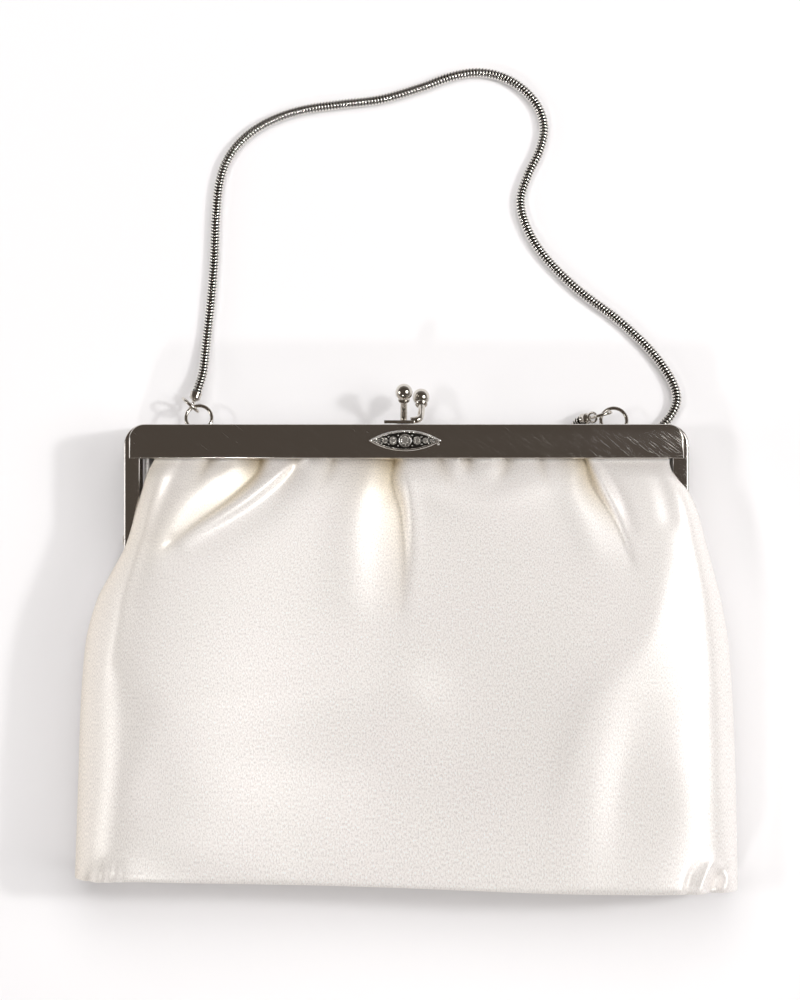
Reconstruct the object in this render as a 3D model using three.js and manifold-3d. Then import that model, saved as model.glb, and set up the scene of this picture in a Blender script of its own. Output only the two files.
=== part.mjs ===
// An ivory satin evening bag with a hinged metal frame, a kiss-lock clasp and a snake-chain handle,
// lying on its back. Millimetres: +X is the right side seen from the front, +Y runs from the base to
// the clasp, +Z points out of the front panel, and the bag lies on the plane z = 0.
import * as THREE from 'three';
import { mergeVertices } from 'three/addons/utils/BufferGeometryUtils.js';
import Module from 'manifold-3d';

const wasm = await Module();
wasm.setup();

// Clearance between neighbouring pieces, and the wall of the satin with its interlining.
const GAP = 0.3;
const CLOTH = 1.2;

// The hinged frame: two arches of folded sheet that meet at a middle plane.
const FRAME_TOP = 15.7;
const FRAME_HALF_WIDTH = 88.7;
const FRAME_CORNER = 6.5;
const ARM_LENGTH = 40;
const ARM_WIDTH = 5;
const FRAME_MIDDLE = 16.5;
const HALF_DEPTH = 8.8;
const PARTING = 0.15;
const FLANGE_SHEET = 0.8;
const FACE_SHEET = 1;
const INNER_CORNER = 1.5;
const CORNER_STEPS = 4;

// The wide plates that stand proud along the top of each half.
const PLATE = { halfWidth: 87, height: 10.8, corner: 4.8, sheet: 1, chamfer: 0.25 };

// The hinge at the end of each arm: an ear on each half, with a rivet through both.
const HINGE_Y = FRAME_TOP - 36.5;
const EAR_RADIUS = 3.5;
const RIVET = { shank: 1, head: 1.9, headHeight: 0.7, crown: 1.3, sides: 12 };
const EAR_SIDES = 14;
const CLEAR_THROUGH = 4;

// The rings of the handle, each in two slots of the back half's top flange.
const FLANGE_Z = 12.1;
const RING = { radius: 4.1, wire: 0.5, tilt: THREE.MathUtils.degToRad(15) };
const SLOT = { near: 0.8, far: 5.2, width: 1.9 };
const LINK = { radius: 3.15, wire: 0.45 };
const EYE = { radius: 1.5, wire: 0.4 };
const CAP = { radius: 1.9, length: 3, neck: 0.7, shoulder: 1.2, sides: 12 };
const HOOP_SIDES = 16;
const WIRE_SIDES = 6;

// One row for each end of the handle: the ring's centre, the link's centre and the way it runs seen
// from above, then the eye of the chain's end cap, the way the cap leaves it and the eye's axis.
// These places, and the chain's, are x, the rise above the frame's top edge, and z.
const HANDLE_ENDS = [
  {
    name: 'left', ring: [-65.8, 2.2], link: [-68.6, 6.4, 9], linkWay: [0.75, -0.66, 0],
    eye: [-68.1, 6.3, 5.85], capWay: [0.28, 0.93, -0.22], eyeAxis: [0.96, -0.29, 0],
  },
  {
    name: 'right', ring: [65.8, 1.4], link: [62, 3.2, 9.7], linkWay: [-0.97, -0.25, 0],
    eye: [59.25, 2.5, 7.7], capWay: [-0.8, -0.1, -0.59], eyeAxis: [-0.557, -0.144, 0.82],
  },
];

// The snake chain: its radius, and its way from the left cap round to the right one. It lies on the
// table, and its last stretch turns back under the frame.
const CHAIN_RADIUS = 1.6;
const CHAIN_SIDES = 8;
const CHAIN_STEPS = 76;
const CHAIN_WAY = [
  [-64.9, 17.2, 3.3], [-63.8, 27.3, 1.9], [-62.4, 40.1, 1.7], [-61.4, 52.9, 1.7],
  [-60.8, 67.3, 1.7], [-59.5, 78.5, 1.7], [-56.3, 86.5, 1.7], [-50.6, 92.9, 1.7],
  [-42.9, 97.6, 1.7], [-33.3, 100.8, 1.7], [-21.2, 102.6, 1.7], [-8.4, 104.2, 1.7],
  [4.4, 107.9, 1.7], [14, 111.4, 1.7], [22.6, 112.8, 1.7], [30.6, 111.4, 1.7],
  [37.6, 107.2, 1.7], [42.4, 101.2, 1.7], [44, 94.5, 1.7], [42.4, 87.4, 1.7],
  [38.9, 80.1, 1.7], [36.5, 71.8, 1.7], [38.6, 63.1, 1.7], [44.3, 53.9, 1.7],
  [54.6, 43.6, 1.7], [67.7, 33.7, 1.7], [77.9, 24.1, 1.8], [84.3, 15.2, 2.1],
  [86.4, 8.6, 2.4], [84.6, 3.4, 2.3], [80.4, -1.4, 2], [75, -6, 1.8],
  [69, -9.2, 1.7], [62, -10.6, 1.7], [55.6, -9.6, 1.8], [51.2, -6, 1.9],
  [50.2, -2.2, 2.1], [51.3, 0.6, 2.6], [53.4, 1.8, 3.5],
];

// The kiss lock: a foot on the flange of its half, a stem that leans over the other half, and a ball.
const BALL = { radius: 2.7, sides: 14, rings: 9 };
const STEM = { radius: 0.85, sides: 8, steps: 7 };
const COLLAR = { radius: 1.35, height: 1.1, below: 2.9, sides: 10 };
const FOOT_HEIGHT = 1;
const KNOBS = [
  {
    name: 'clasp_knob_front', foot: { left: -7, right: 2.6, z: 21, depth: 4 },
    stem: [[1.6, 1.2, 21], [4.1, 1.9, 20.4], [4.8, 4.8, 17.6], [4.65, 8.8, 14]],
  },
  {
    name: 'clasp_knob_back', foot: { left: -3.2, right: 1.8, z: 12, depth: 4.4 },
    stem: [[-0.8, 1.1, 12.2], [-0.8, 3.2, 13], [-0.78, 6.6, 15.8], [-0.75, 10.2, 19.3]],
  },
];

// The marquise ornament on the front plate, and its stones in columns out from the middle one.
const ORNAMENT = {
  x: -0.4, y: FRAME_TOP - 5.2, halfLength: 11.4, halfHeight: 3.3,
  floor: 0.8, rim: 0.65, tipRim: 2.1, rimHeight: 1.7, arcSteps: 8,
};
const STONE = { sides: 8, girdle: 0.5, sunk: 0.2, table: 0.58, crown: 0.45 };
const STONE_COLUMNS = [
  { out: 0, rows: 1, spacing: 0, radius: 1.2 },
  { out: 2.3, rows: 2, spacing: 1.9, radius: 0.85 },
  { out: 4.2, rows: 2, spacing: 1.6, radius: 0.74 },
  { out: 5.9, rows: 1, spacing: 0, radius: 0.88 },
  { out: 7.5, rows: 1, spacing: 0, radius: 0.62 },
  { out: 8.7, rows: 1, spacing: 0, radius: 0.42 },
];

// The satin body in sections across it, each at a drop below the frame's top edge: its left and right
// outline, the height of the front panel's middle and of its side edges, how square the section is,
// and the height of the back panel's middle and of its side edges.
const BODY = [
  { drop: 7, left: -77.5, right: 80.5, crown: 24.4, edge: 24.2, square: 3, back: 8.6, backEdge: 8.7 },
  { drop: 10.8, left: -78.9, right: 82.2, crown: 24.8, edge: 24.7, square: 3, back: 8.2, backEdge: 8.2 },
  { drop: 14, left: -80.6, right: 83, crown: 27.6, edge: 26.2, square: 3, back: 6.2, backEdge: 6.2 },
  { drop: 17, left: -81.8, right: 85, crown: 29.8, edge: 27, square: 3, back: 4.8, backEdge: 4.9 },
  { drop: 21, left: -82.9, right: 88.4, crown: 31.8, edge: 27.3, square: 3, back: 4, backEdge: 5 },
  { drop: 27, left: -84.7, right: 91.2, crown: 33.6, edge: 27.4, square: 3, back: 2.8, backEdge: 5 },
  { drop: 38, left: -87.8, right: 94.2, crown: 35.2, edge: 27.3, square: 3.5, back: 1.2, backEdge: 5 },
  { drop: 47, left: -92.6, right: 96.8, crown: 36, edge: 25.5, square: 4, back: 0.2, backEdge: 4.5 },
  { drop: 56, left: -97.3, right: 99.2, crown: 36.6, edge: 23.5, square: 4.5, back: 0, backEdge: 4 },
  { drop: 70, left: -101, right: 101.6, crown: 37.3, edge: 21, square: 5.5, back: 0, backEdge: 3.6 },
  { drop: 90, left: -102.6, right: 103, crown: 38.2, edge: 20, square: 6.5, back: 0, backEdge: 3.5 },
  { drop: 115, left: -103.4, right: 103.9, crown: 38.8, edge: 20, square: 7, back: 0, backEdge: 3.5 },
  { drop: 144, left: -104.4, right: 104.4, crown: 38.4, edge: 20, square: 7, back: 0, backEdge: 3.5 },
];
const BASE_DROP = BODY[BODY.length - 1].drop;
const BODY_TOP = BODY[0].drop;
const ROLL = 2.2;
const EDGE_CROWDING = 0.6;
const FLAT_SHARE = 0.86;
const BACK_INSET = 0.99;
const LEAN = 0.00011;

// Pleats and folds of the front panel: where each leaves the frame and where it ends (x, drop), how
// far its middle bows sideways, its half width at both ends, and how high it stands there.
const FOLDS = [
  { from: [-46, 9], to: [-72, 42], bow: 3, wide: [2.2, 6], lift: [-4.2, -0.4] },
  { from: [-55, 12], to: [-78, 38], bow: 4, wide: [4, 7], lift: [2.4, 0.8] },
  { from: [-36, 12], to: [-68, 50], bow: 2, wide: [3, 8], lift: [2, 0.6] },
  { from: [-2.2, 9], to: [0, 62], bow: -1, wide: [2.2, 7], lift: [-5, -0.3] },
  { from: [-9, 12], to: [-13, 58], bow: 0, wide: [4.5, 8], lift: [2.4, 0.5] },
  { from: [4, 12], to: [6, 60], bow: 0, wide: [3.5, 8], lift: [1.6, 0.4] },
  { from: [20.5, 9], to: [20, 24], bow: 0, wide: [2.2, 4], lift: [-2.4, -0.2] },
  { from: [57, 9], to: [68, 46], bow: -1, wide: [2.2, 6], lift: [-5, -0.4] },
  { from: [52, 12], to: [60, 44], bow: -1, wide: [4, 7], lift: [2.2, 0.5] },
  { from: [62, 12], to: [77, 52], bow: 1, wide: [3, 6], lift: [2, 0.6] },
  { from: [74, 40], to: [50, 116], bow: 7, wide: [9, 12], lift: [-0.6, -2.2] },
];
const FOLD_END = { fades: 0.9, gone: 1.3 };
const SIDE_FADE = 6;
const TUCK = { under: 11, free: 19 };
const CROWDING = 1.35;
const FRONT_GRID = { columns: 42, rows: 19 };
const BACK_GRID = { columns: 16, rows: 12 };
const GUSSET_GRID = { columns: 4, framed: 4, free: 12 };
const BASE_STEPS = 16;
const PLUG_DEPTH = 0.6;

// The gussets run between the arms, then out to the side edges of the panels below the hinge.
const GUSSET = {
  top: 8, bottom: 143.4, leaves: 40.7, joins: 46, x: 82.2, front: 22.3, back: 10.3, fold: 2.5,
};

const lerp = THREE.MathUtils.lerp;
const smooth = THREE.MathUtils.smoothstep;
const vector = (values) => new THREE.Vector3(...values);
const aboveFrame = ([x, rise, z]) => new THREE.Vector3(x, FRAME_TOP + rise, z);
const UP = new THREE.Vector3(0, 0, 1);
const DOWN = UP.clone().negate();
const turnTo = (from, way) => new THREE.Quaternion().setFromUnitVectors(from, way.clone().normalize());

// A closed mesh with shared vertices, no folded triangles and its faces pointing out.
function closed(geometry) {
  const bare = geometry.clone();
  bare.deleteAttribute('normal');
  bare.deleteAttribute('uv');
  const merged = mergeVertices(bare, 1e-4);
  const place = (i) => new THREE.Vector3().fromBufferAttribute(merged.attributes.position, i);
  const triangles = [];
  let volume = 0;
  for (let i = 0; i < merged.index.count; i += 3) {
    const [a, b, c] = [0, 1, 2].map((k) => merged.index.getX(i + k));
    if (a === b || b === c || c === a) continue;
    triangles.push([a, b, c]);
    volume += place(a).dot(place(b).cross(place(c)));
  }
  merged.setIndex(triangles.flatMap(([a, b, c]) => (volume > 0 ? [a, b, c] : [a, c, b])));
  return merged;
}

function solid(geometry) {
  const mesh = closed(geometry);
  const vertProperties = new Float32Array(mesh.attributes.position.array);
  const triVerts = new Uint32Array(mesh.index.array);
  return new wasm.Manifold(new wasm.Mesh({ numProp: 3, vertProperties, triVerts }));
}

function geometryOf(body) {
  const mesh = body.getMesh();
  const geometry = new THREE.BufferGeometry();
  geometry.setAttribute('position', new THREE.BufferAttribute(new Float32Array(mesh.vertProperties), 3));
  geometry.setIndex([...mesh.triVerts]);
  return geometry;
}

const join = (...pieces) => geometryOf(pieces.map(solid).reduce((whole, piece) => whole.add(piece)));
const cut = (piece, ...tools) =>
  geometryOf(tools.map(solid).reduce((rest, tool) => rest.subtract(tool), solid(piece)));

// A flat outline drawn in x and y and raised from one height to another.
function slab(shape, zA, zB, bevel = {}) {
  const options = { depth: Math.abs(zB - zA), bevelEnabled: false, curveSegments: CORNER_STEPS, ...bevel };
  return new THREE.ExtrudeGeometry(shape, options).translate(0, 0, Math.min(zA, zB));
}

const block = (low, high) => {
  const size = vector(high).sub(vector(low));
  const middle = vector(high).add(vector(low)).divideScalar(2);
  return new THREE.BoxGeometry(...size).translate(...middle);
};

// A profile of [radius, height] pairs turned round an axis that starts at a point.
function turned(profile, start, way, sides) {
  const lathe = new THREE.LatheGeometry(profile.map(([r, h]) => new THREE.Vector2(r, h)), sides);
  return lathe.applyQuaternion(turnTo(new THREE.Vector3(0, 1, 0), way)).translate(...start);
}

function disc(radius, xA, xB) {
  const profile = [[0, 0], [radius, 0], [radius, xB - xA], [0, xB - xA]];
  return turned(profile, [xA, HINGE_Y, FRAME_MIDDLE], new THREE.Vector3(1, 0, 0), EAR_SIDES);
}

// A round rod of a given number of sides along a smooth curve, with flat ends.
function rod(curve, radius, sides, steps) {
  const corners = Array.from({ length: sides }, (_, k) => {
    const angle = (2 * Math.PI * k) / sides;
    return new THREE.Vector2(radius * Math.cos(angle), radius * Math.sin(angle));
  });
  return new THREE.ExtrudeGeometry(new THREE.Shape(corners), { steps, extrudePath: curve });
}

// A ring of wire round a centre, lying across its axis.
function hoop({ radius, wire }, centre, axis) {
  const torus = new THREE.TorusGeometry(radius, wire, WIRE_SIDES, HOOP_SIDES);
  return torus.applyQuaternion(turnTo(UP, axis)).translate(...centre);
}

// An arch of one width along the outside of the frame, open at the bottom of its arms.
function archShape(width) {
  const [w, top, bottom] = [FRAME_HALF_WIDTH, FRAME_TOP, FRAME_TOP - ARM_LENGTH];
  const outer = FRAME_CORNER;
  const inner = Math.max(FRAME_CORNER - width, INNER_CORNER);
  const shape = new THREE.Shape();
  shape.moveTo(-w, bottom);
  shape.lineTo(-w, top - outer);
  shape.absarc(-w + outer, top - outer, outer, Math.PI, Math.PI / 2, true);
  shape.absarc(w - outer, top - outer, outer, Math.PI / 2, 0, true);
  shape.lineTo(w, bottom);
  shape.lineTo(w - width, bottom);
  shape.absarc(w - width - inner, top - width - inner, inner, 0, Math.PI / 2, false);
  shape.absarc(-w + width + inner, top - width - inner, inner, Math.PI / 2, Math.PI, false);
  shape.lineTo(-w + width, bottom);
  shape.closePath();
  return shape;
}

// One half of the frame; facing is 1 for the front half and -1 for the back half.
function frameHalf(facing) {
  const face = FRAME_MIDDLE + facing * HALF_DEPTH;
  const plate = slab(archShape(ARM_WIDTH), face, face - facing * FACE_SHEET);
  const flange = slab(archShape(FLANGE_SHEET), face, FRAME_MIDDLE + facing * PARTING);
  return join(plate, flange);
}

const SIDES = [-1, 1];
const between = (side, near, far) => [side * near, side * far].sort((a, b) => a - b);
const rivetHoles = () => SIDES.map((side) => {
  const [near, far] = [FRAME_HALF_WIDTH - CLEAR_THROUGH, FRAME_HALF_WIDTH + CLEAR_THROUGH];
  return disc(RIVET.shank + GAP, ...between(side, near, far));
});

function frameFront() {
  const ears = SIDES.map((side) =>
    disc(EAR_RADIUS, ...between(side, FRAME_HALF_WIDTH - FLANGE_SHEET, FRAME_HALF_WIDTH)));
  return cut(join(frameHalf(1), ...ears), ...rivetHoles());
}

// The back half has its ears inside the front half's, room for those, and the slots of the rings.
function frameBack() {
  const far = FRAME_HALF_WIDTH - FLANGE_SHEET - GAP;
  const near = far - FLANGE_SHEET;
  const room = SIDES.map((side) =>
    disc(EAR_RADIUS + GAP, ...between(side, far, FRAME_HALF_WIDTH + CLEAR_THROUGH)));
  const slots = HANDLE_ENDS.flatMap(({ ring }) => SIDES.map((side) => {
    const [low, high] = between(side, SLOT.near, SLOT.far);
    const [zLow, zHigh] = [FLANGE_Z - SLOT.width / 2, FLANGE_Z + SLOT.width / 2];
    const [yLow, yHigh] = [FRAME_TOP - CLEAR_THROUGH, FRAME_TOP + CLEAR_THROUGH];
    return block([ring[0] + low, yLow, zLow], [ring[0] + high, yHigh, zHigh]);
  }));
  const floor = FRAME_MIDDLE - HALF_DEPTH + FACE_SHEET / 2;
  const ears = SIDES.flatMap((side) => {
    const [low, high] = between(side, near, far);
    const web = block([low, HINGE_Y - EAR_RADIUS, floor], [high, HINGE_Y + EAR_RADIUS, FRAME_MIDDLE]);
    return [disc(EAR_RADIUS, low, high), web];
  });
  return cut(join(cut(frameHalf(-1), ...room, ...slots), ...ears), ...rivetHoles());
}

function hingeRivet(side) {
  const inner = FRAME_HALF_WIDTH - 2 * FLANGE_SHEET - 2 * GAP - RIVET.headHeight;
  const outer = FRAME_HALF_WIDTH + GAP + RIVET.headHeight;
  const length = outer - inner;
  const profile = [
    [0, 0], [RIVET.head, 0], [RIVET.head, RIVET.headHeight], [RIVET.shank, RIVET.headHeight],
    [RIVET.shank, length - RIVET.headHeight], [RIVET.head, length - RIVET.headHeight],
    [RIVET.crown, length], [0, length],
  ];
  const start = [side * inner, HINGE_Y, FRAME_MIDDLE];
  return closed(turned(profile, start, new THREE.Vector3(side, 0, 0), RIVET.sides));
}

// A plate with round upper corners and chamfered edges, just outside the face of its half.
function barPlate(facing) {
  const edge = PLATE.chamfer;
  const [w, top] = [PLATE.halfWidth - edge, FRAME_TOP - edge];
  const bottom = FRAME_TOP - PLATE.height + edge;
  const corner = PLATE.corner - edge;
  const shape = new THREE.Shape();
  shape.moveTo(-w, bottom);
  shape.lineTo(-w, top - corner);
  shape.absarc(-w + corner, top - corner, corner, Math.PI, Math.PI / 2, true);
  shape.absarc(w - corner, top - corner, corner, Math.PI / 2, 0, true);
  shape.lineTo(w, bottom);
  shape.closePath();
  const inside = FRAME_MIDDLE + facing * (HALF_DEPTH + GAP + edge);
  const outside = inside + facing * (PLATE.sheet - 2 * edge);
  const bevel = { bevelEnabled: true, bevelThickness: edge, bevelSize: edge, bevelSegments: 1 };
  return closed(slab(shape, inside, outside, bevel));
}
const PLATE_FRONT = FRAME_MIDDLE + HALF_DEPTH + GAP + PLATE.sheet;

function claspKnob({ foot, stem }) {
  const seat = FRAME_TOP + GAP;
  const [zLow, zHigh] = [foot.z - foot.depth / 2, foot.z + foot.depth / 2];
  const strip = block([foot.left, seat, zLow], [foot.right, seat + FOOT_HEIGHT, zHigh]);
  const curve = new THREE.CatmullRomCurve3(stem.map(aboveFrame));
  const [centre, way] = [curve.getPoint(1), curve.getTangent(1)];
  const ball = new THREE.SphereGeometry(BALL.radius, BALL.sides, BALL.rings).translate(...centre);
  const profile = [[0, 0], [COLLAR.radius, 0], [COLLAR.radius, COLLAR.height], [0, COLLAR.height]];
  const start = centre.clone().addScaledVector(way, -COLLAR.below - COLLAR.height / 2);
  const collar = turned(profile, start, way, COLLAR.sides);
  return join(strip, rod(curve, STEM.radius, STEM.sides, STEM.steps), collar, ball);
}

// A pointed oval of two arcs.
function marquise(halfLength, halfHeight) {
  const radius = (halfLength ** 2 + halfHeight ** 2) / (2 * halfHeight);
  const angle = Math.atan2(radius - halfHeight, halfLength);
  const shape = new THREE.Shape();
  shape.absarc(0, halfHeight - radius, radius, Math.PI - angle, angle, true);
  shape.absarc(0, radius - halfHeight, radius, -angle, angle - Math.PI, true);
  return shape;
}

// A cut stone with a table, a ring of crown facets and a girdle, standing in the floor of its setting.
function stone(x, y, radius) {
  const top = STONE.girdle + radius * STONE.crown;
  const profile = [[0, 0], [radius, 0], [radius, STONE.girdle], [radius * STONE.table, top], [0, top]];
  return turned(profile, [x, y, ORNAMENT.floor - STONE.sunk], UP, STONE.sides);
}

function ornament() {
  const { halfLength, halfHeight, floor, rim, tipRim, rimHeight } = ORNAMENT;
  const outline = { curveSegments: ORNAMENT.arcSteps };
  const body = slab(marquise(halfLength, halfHeight), 0, rimHeight, outline);
  const hollow = slab(marquise(halfLength - tipRim, halfHeight - rim), floor, 2 * rimHeight, outline);
  const stones = STONE_COLUMNS.flatMap(({ out, rows, spacing, radius }) => {
    const places = out === 0 ? [0] : [-out, out];
    return places.flatMap((x) =>
      Array.from({ length: rows }, (_, k) => stone(x, (k - (rows - 1) / 2) * spacing, radius)));
  });
  return join(cut(body, hollow), ...stones).translate(ORNAMENT.x, ORNAMENT.y, PLATE_FRONT + GAP);
}

// The ring leans so that its outer side hangs lower than the flange that it passes through.
function frameRing({ ring }) {
  const [x, rise] = ring;
  const centre = aboveFrame([x, rise, FLANGE_Z - (rise + FLANGE_SHEET / 2) * Math.tan(RING.tilt)]);
  return closed(hoop(RING, centre, new THREE.Vector3(0, Math.sin(RING.tilt), Math.cos(RING.tilt))));
}

const chainLink = ({ link, linkWay }) =>
  closed(hoop(LINK, aboveFrame(link), vector(linkWay).cross(UP)));

// A place along a cap, at a distance from the middle of its eye.
const fromEye = ({ eye, capWay }, distance) =>
  aboveFrame(eye).addScaledVector(vector(capWay).normalize(), distance);

function chainCap(row) {
  const start = fromEye(row, EYE.radius - EYE.wire / 2);
  const length = CAP.length + EYE.wire / 2;
  const profile = [[0, 0], [CAP.neck, 0], [CAP.radius, CAP.shoulder], [CAP.radius, length], [0, length]];
  const cap = turned(profile, start, vector(row.capWay), CAP.sides);
  return join(cap, hoop(EYE, fromEye(row, 0), vector(row.eyeAxis)));
}

function snakeChain() {
  const ends = HANDLE_ENDS.map((row) => fromEye(row, EYE.radius + CAP.length + GAP));
  const points = [ends[0], ...CHAIN_WAY.map(aboveFrame), ends[1]];
  return closed(rod(new THREE.CatmullRomCurve3(points), CHAIN_RADIUS, CHAIN_SIDES, CHAIN_STEPS));
}

// One column of the body's table at any drop, on a cubic that keeps the table's rises and falls.
function body(column, drop) {
  const last = BODY.length - 1;
  const slope = (k) => (BODY[k + 1][column] - BODY[k][column]) / (BODY[k + 1].drop - BODY[k].drop);
  const tangent = (k) => {
    if (k === 0 || k === last) return slope(Math.min(k, last - 1));
    const [before, after] = [slope(k - 1), slope(k)];
    return before * after <= 0 ? 0 : (2 * before * after) / (before + after);
  };
  const k = Math.min(Math.max(BODY.filter((row) => row.drop <= drop).length, 1), last) - 1;
  const span = BODY[k + 1].drop - BODY[k].drop;
  const t = (drop - BODY[k].drop) / span;
  const [a, b] = [BODY[k][column], BODY[k + 1][column]];
  const ease = t * t * (3 - 2 * t);
  return lerp(a, b, ease) + span * t * (1 - t) * ((1 - t) * tangent(k) - t * tangent(k + 1));
}

// The body leans a little, so that its right side hangs lower than its left.
const onBody = (x, drop, z) => new THREE.Vector3(x, FRAME_TOP - drop * (1 + LEAN * x), z);
const acrossBody = (share, drop) => lerp(body('left', drop), body('right', drop), (share + 1) / 2);

// How far the folds lift the front panel at a place on it.
function foldLift(x, drop) {
  let lift = 0;
  for (const fold of FOLDS) {
    const t = (drop - fold.from[1]) / (fold.to[1] - fold.from[1]);
    if (t < 0 || t > FOLD_END.gone) continue;
    const middle = lerp(fold.from[0], fold.to[0], t) + 4 * fold.bow * t * (1 - t);
    const away = (x - middle) / lerp(fold.wide[0], fold.wide[1], t);
    const fade = 1 - smooth(t, FOLD_END.fades, FOLD_END.gone);
    const height = lerp(fold.lift[0], fold.lift[1], Math.sqrt(t)) * fade;
    lift += height * Math.exp(-away * away);
  }
  const free = lift > 0 ? smooth(drop, TUCK.under, TUCK.free) : smooth(drop, BODY_TOP, TUCK.under);
  return lift * free;
}

// The front panel without its folds: flat in the middle and rolled over at both sides.
function frontSmooth(u, drop) {
  const share = lerp(u, Math.sin((u * Math.PI) / 2), EDGE_CROWDING);
  const roll = Math.max(1 - Math.abs(share) ** body('square', drop), 0) ** (1 / ROLL);
  return onBody(acrossBody(share, drop), drop, lerp(body('edge', drop), body('crown', drop), roll));
}

function frontOuter(u, drop) {
  const point = frontSmooth(u, drop);
  point.z += foldLift(point.x, drop) * (1 - Math.abs(u) ** SIDE_FADE);
  return point;
}

// The back panel lies flat on the table, and turns up along its sides and towards the frame.
function backOuter(u, drop) {
  const turnUp = Math.max((Math.abs(u) - FLAT_SHARE) / (1 - FLAT_SHARE), 0) ** 2;
  const z = lerp(body('back', drop), body('backEdge', drop), turnUp);
  return onBody(acrossBody(u * BACK_INSET, drop), drop, z);
}

// A side gusset, from the back panel's edge (v = -1) to the front panel's (v = 1).
function gussetOuter(side, v, drop) {
  const inFrame = 1 - smooth(drop, GUSSET.leaves, GUSSET.joins);
  const across = (v + 1) / 2;
  const front = lerp(body('edge', drop) - GAP, GUSSET.front, inFrame);
  const back = lerp(body('backEdge', drop) + CLOTH + GAP, GUSSET.back, inFrame);
  const x = lerp(acrossBody(side, drop), side * GUSSET.x, inFrame);
  const fold = side * inFrame * GUSSET.fold * Math.sin(Math.PI * across);
  return onBody(x - fold, drop, lerp(back, front, across));
}

// The way into the bag from a smooth surface, square to it and of a given length.
function inward(surface, u, drop, distance, inside) {
  const step = 1e-3;
  const [uLow, uHigh] = [Math.max(u - step, -1), Math.min(u + step, 1)];
  const along = surface(uHigh, drop).sub(surface(uLow, drop));
  const down = surface(u, drop + step).sub(surface(u, drop - step));
  const normal = along.cross(down).normalize();
  const sign = normal.dot(inside) > 0 ? 1 : -1;
  return normal.multiplyScalar(sign * distance);
}

// Drops from top to bottom, closer together at the top where the crowding is over 1.
const spaced = (top, bottom, rows, crowding = 1) =>
  Array.from({ length: rows + 1 }, (_, j) => lerp(top, bottom, (j / rows) ** crowding));

// A cloth wall on a grid: an outer skin, an inner skin, and a rim that closes them all round.
function clothWall(columns, drops, outer, smoothSurface, inside) {
  const rows = drops.length - 1;
  const points = [];
  const skins = [0, 1].map((layer) => drops.map((drop) =>
    Array.from({ length: columns + 1 }, (_, i) => {
      const u = (2 * i) / columns - 1;
      const point = outer(u, drop).addScaledVector(inward(smoothSurface, u, drop, CLOTH, inside), layer);
      return points.push(point) - 1;
    })));
  const index = [];
  const quad = (a, b, c, d) => index.push(a, b, c, a, c, d);
  const [skin, lining] = skins;
  for (let j = 0; j < rows; j += 1) {
    for (let i = 0; i < columns; i += 1) {
      quad(skin[j][i], skin[j + 1][i], skin[j + 1][i + 1], skin[j][i + 1]);
      quad(lining[j][i], lining[j][i + 1], lining[j + 1][i + 1], lining[j + 1][i]);
    }
    quad(skin[j][0], lining[j][0], lining[j + 1][0], skin[j + 1][0]);
    quad(skin[j + 1][columns], lining[j + 1][columns], lining[j][columns], skin[j][columns]);
  }
  for (let i = 0; i < columns; i += 1) {
    quad(skin[0][i + 1], lining[0][i + 1], lining[0][i], skin[0][i]);
    quad(skin[rows][i], lining[rows][i], lining[rows][i + 1], skin[rows][i + 1]);
  }
  const geometry = new THREE.BufferGeometry().setFromPoints(points);
  geometry.setIndex(index);
  return closed(geometry);
}

function frontPanel() {
  const drops = spaced(BODY_TOP, BASE_DROP, FRONT_GRID.rows, CROWDING);
  return clothWall(FRONT_GRID.columns, drops, frontOuter, frontSmooth, DOWN);
}
function backPanel() {
  const drops = spaced(BODY_TOP, BASE_DROP, BACK_GRID.rows, CROWDING);
  return clothWall(BACK_GRID.columns, drops, backOuter, backOuter, UP);
}
function gusset(side) {
  const framed = spaced(GUSSET.top, GUSSET.leaves, GUSSET_GRID.framed);
  const free = spaced(GUSSET.leaves, GUSSET.bottom, GUSSET_GRID.free, CROWDING);
  const outer = (v, drop) => gussetOuter(side, v, drop);
  const inside = new THREE.Vector3(-side, 0, 0);
  return clothWall(GUSSET_GRID.columns, [...framed, ...free.slice(1)], outer, outer, inside);
}

// The stiff base closes the bottom: the section of the body there, a gap inside its walls.
function basePanel() {
  const drop = BASE_DROP - PLUG_DEPTH;
  const steps = spaced(-1, 1, BASE_STEPS);
  const inset = (surface, u, inside) =>
    surface(u, drop).add(inward(surface, u, drop, CLOTH + GAP, inside));
  const front = steps.map((u) => inset(frontSmooth, u, DOWN));
  const back = steps.map((u) => inset(backOuter, u, UP));
  const outline = [...front, ...back.reverse()].map(({ x, z }) => new THREE.Vector2(x, z));
  const plug = new THREE.ExtrudeGeometry(new THREE.Shape(outline), { depth: CLOTH, bevelEnabled: false });
  const place = plug.attributes.position;
  for (let i = 0; i < place.count; i += 1) {
    const point = onBody(place.getX(i), drop - place.getZ(i), place.getY(i));
    place.setXYZ(i, ...point);
  }
  return closed(plug);
}

const steel = new THREE.MeshStandardMaterial({ color: '#8f8a84', roughness: 0.22, metalness: 1 });
const crystal = new THREE.MeshStandardMaterial({ color: '#d9d8d4', roughness: 0.12, metalness: 0.6 });
const satin = new THREE.MeshStandardMaterial({ color: '#f0e8df', roughness: 0.45, metalness: 0 });

const handbag = new THREE.Group();
function add(name, geometry, material) {
  const mesh = new THREE.Mesh(geometry, material);
  mesh.name = name;
  handbag.add(mesh);
}

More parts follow.
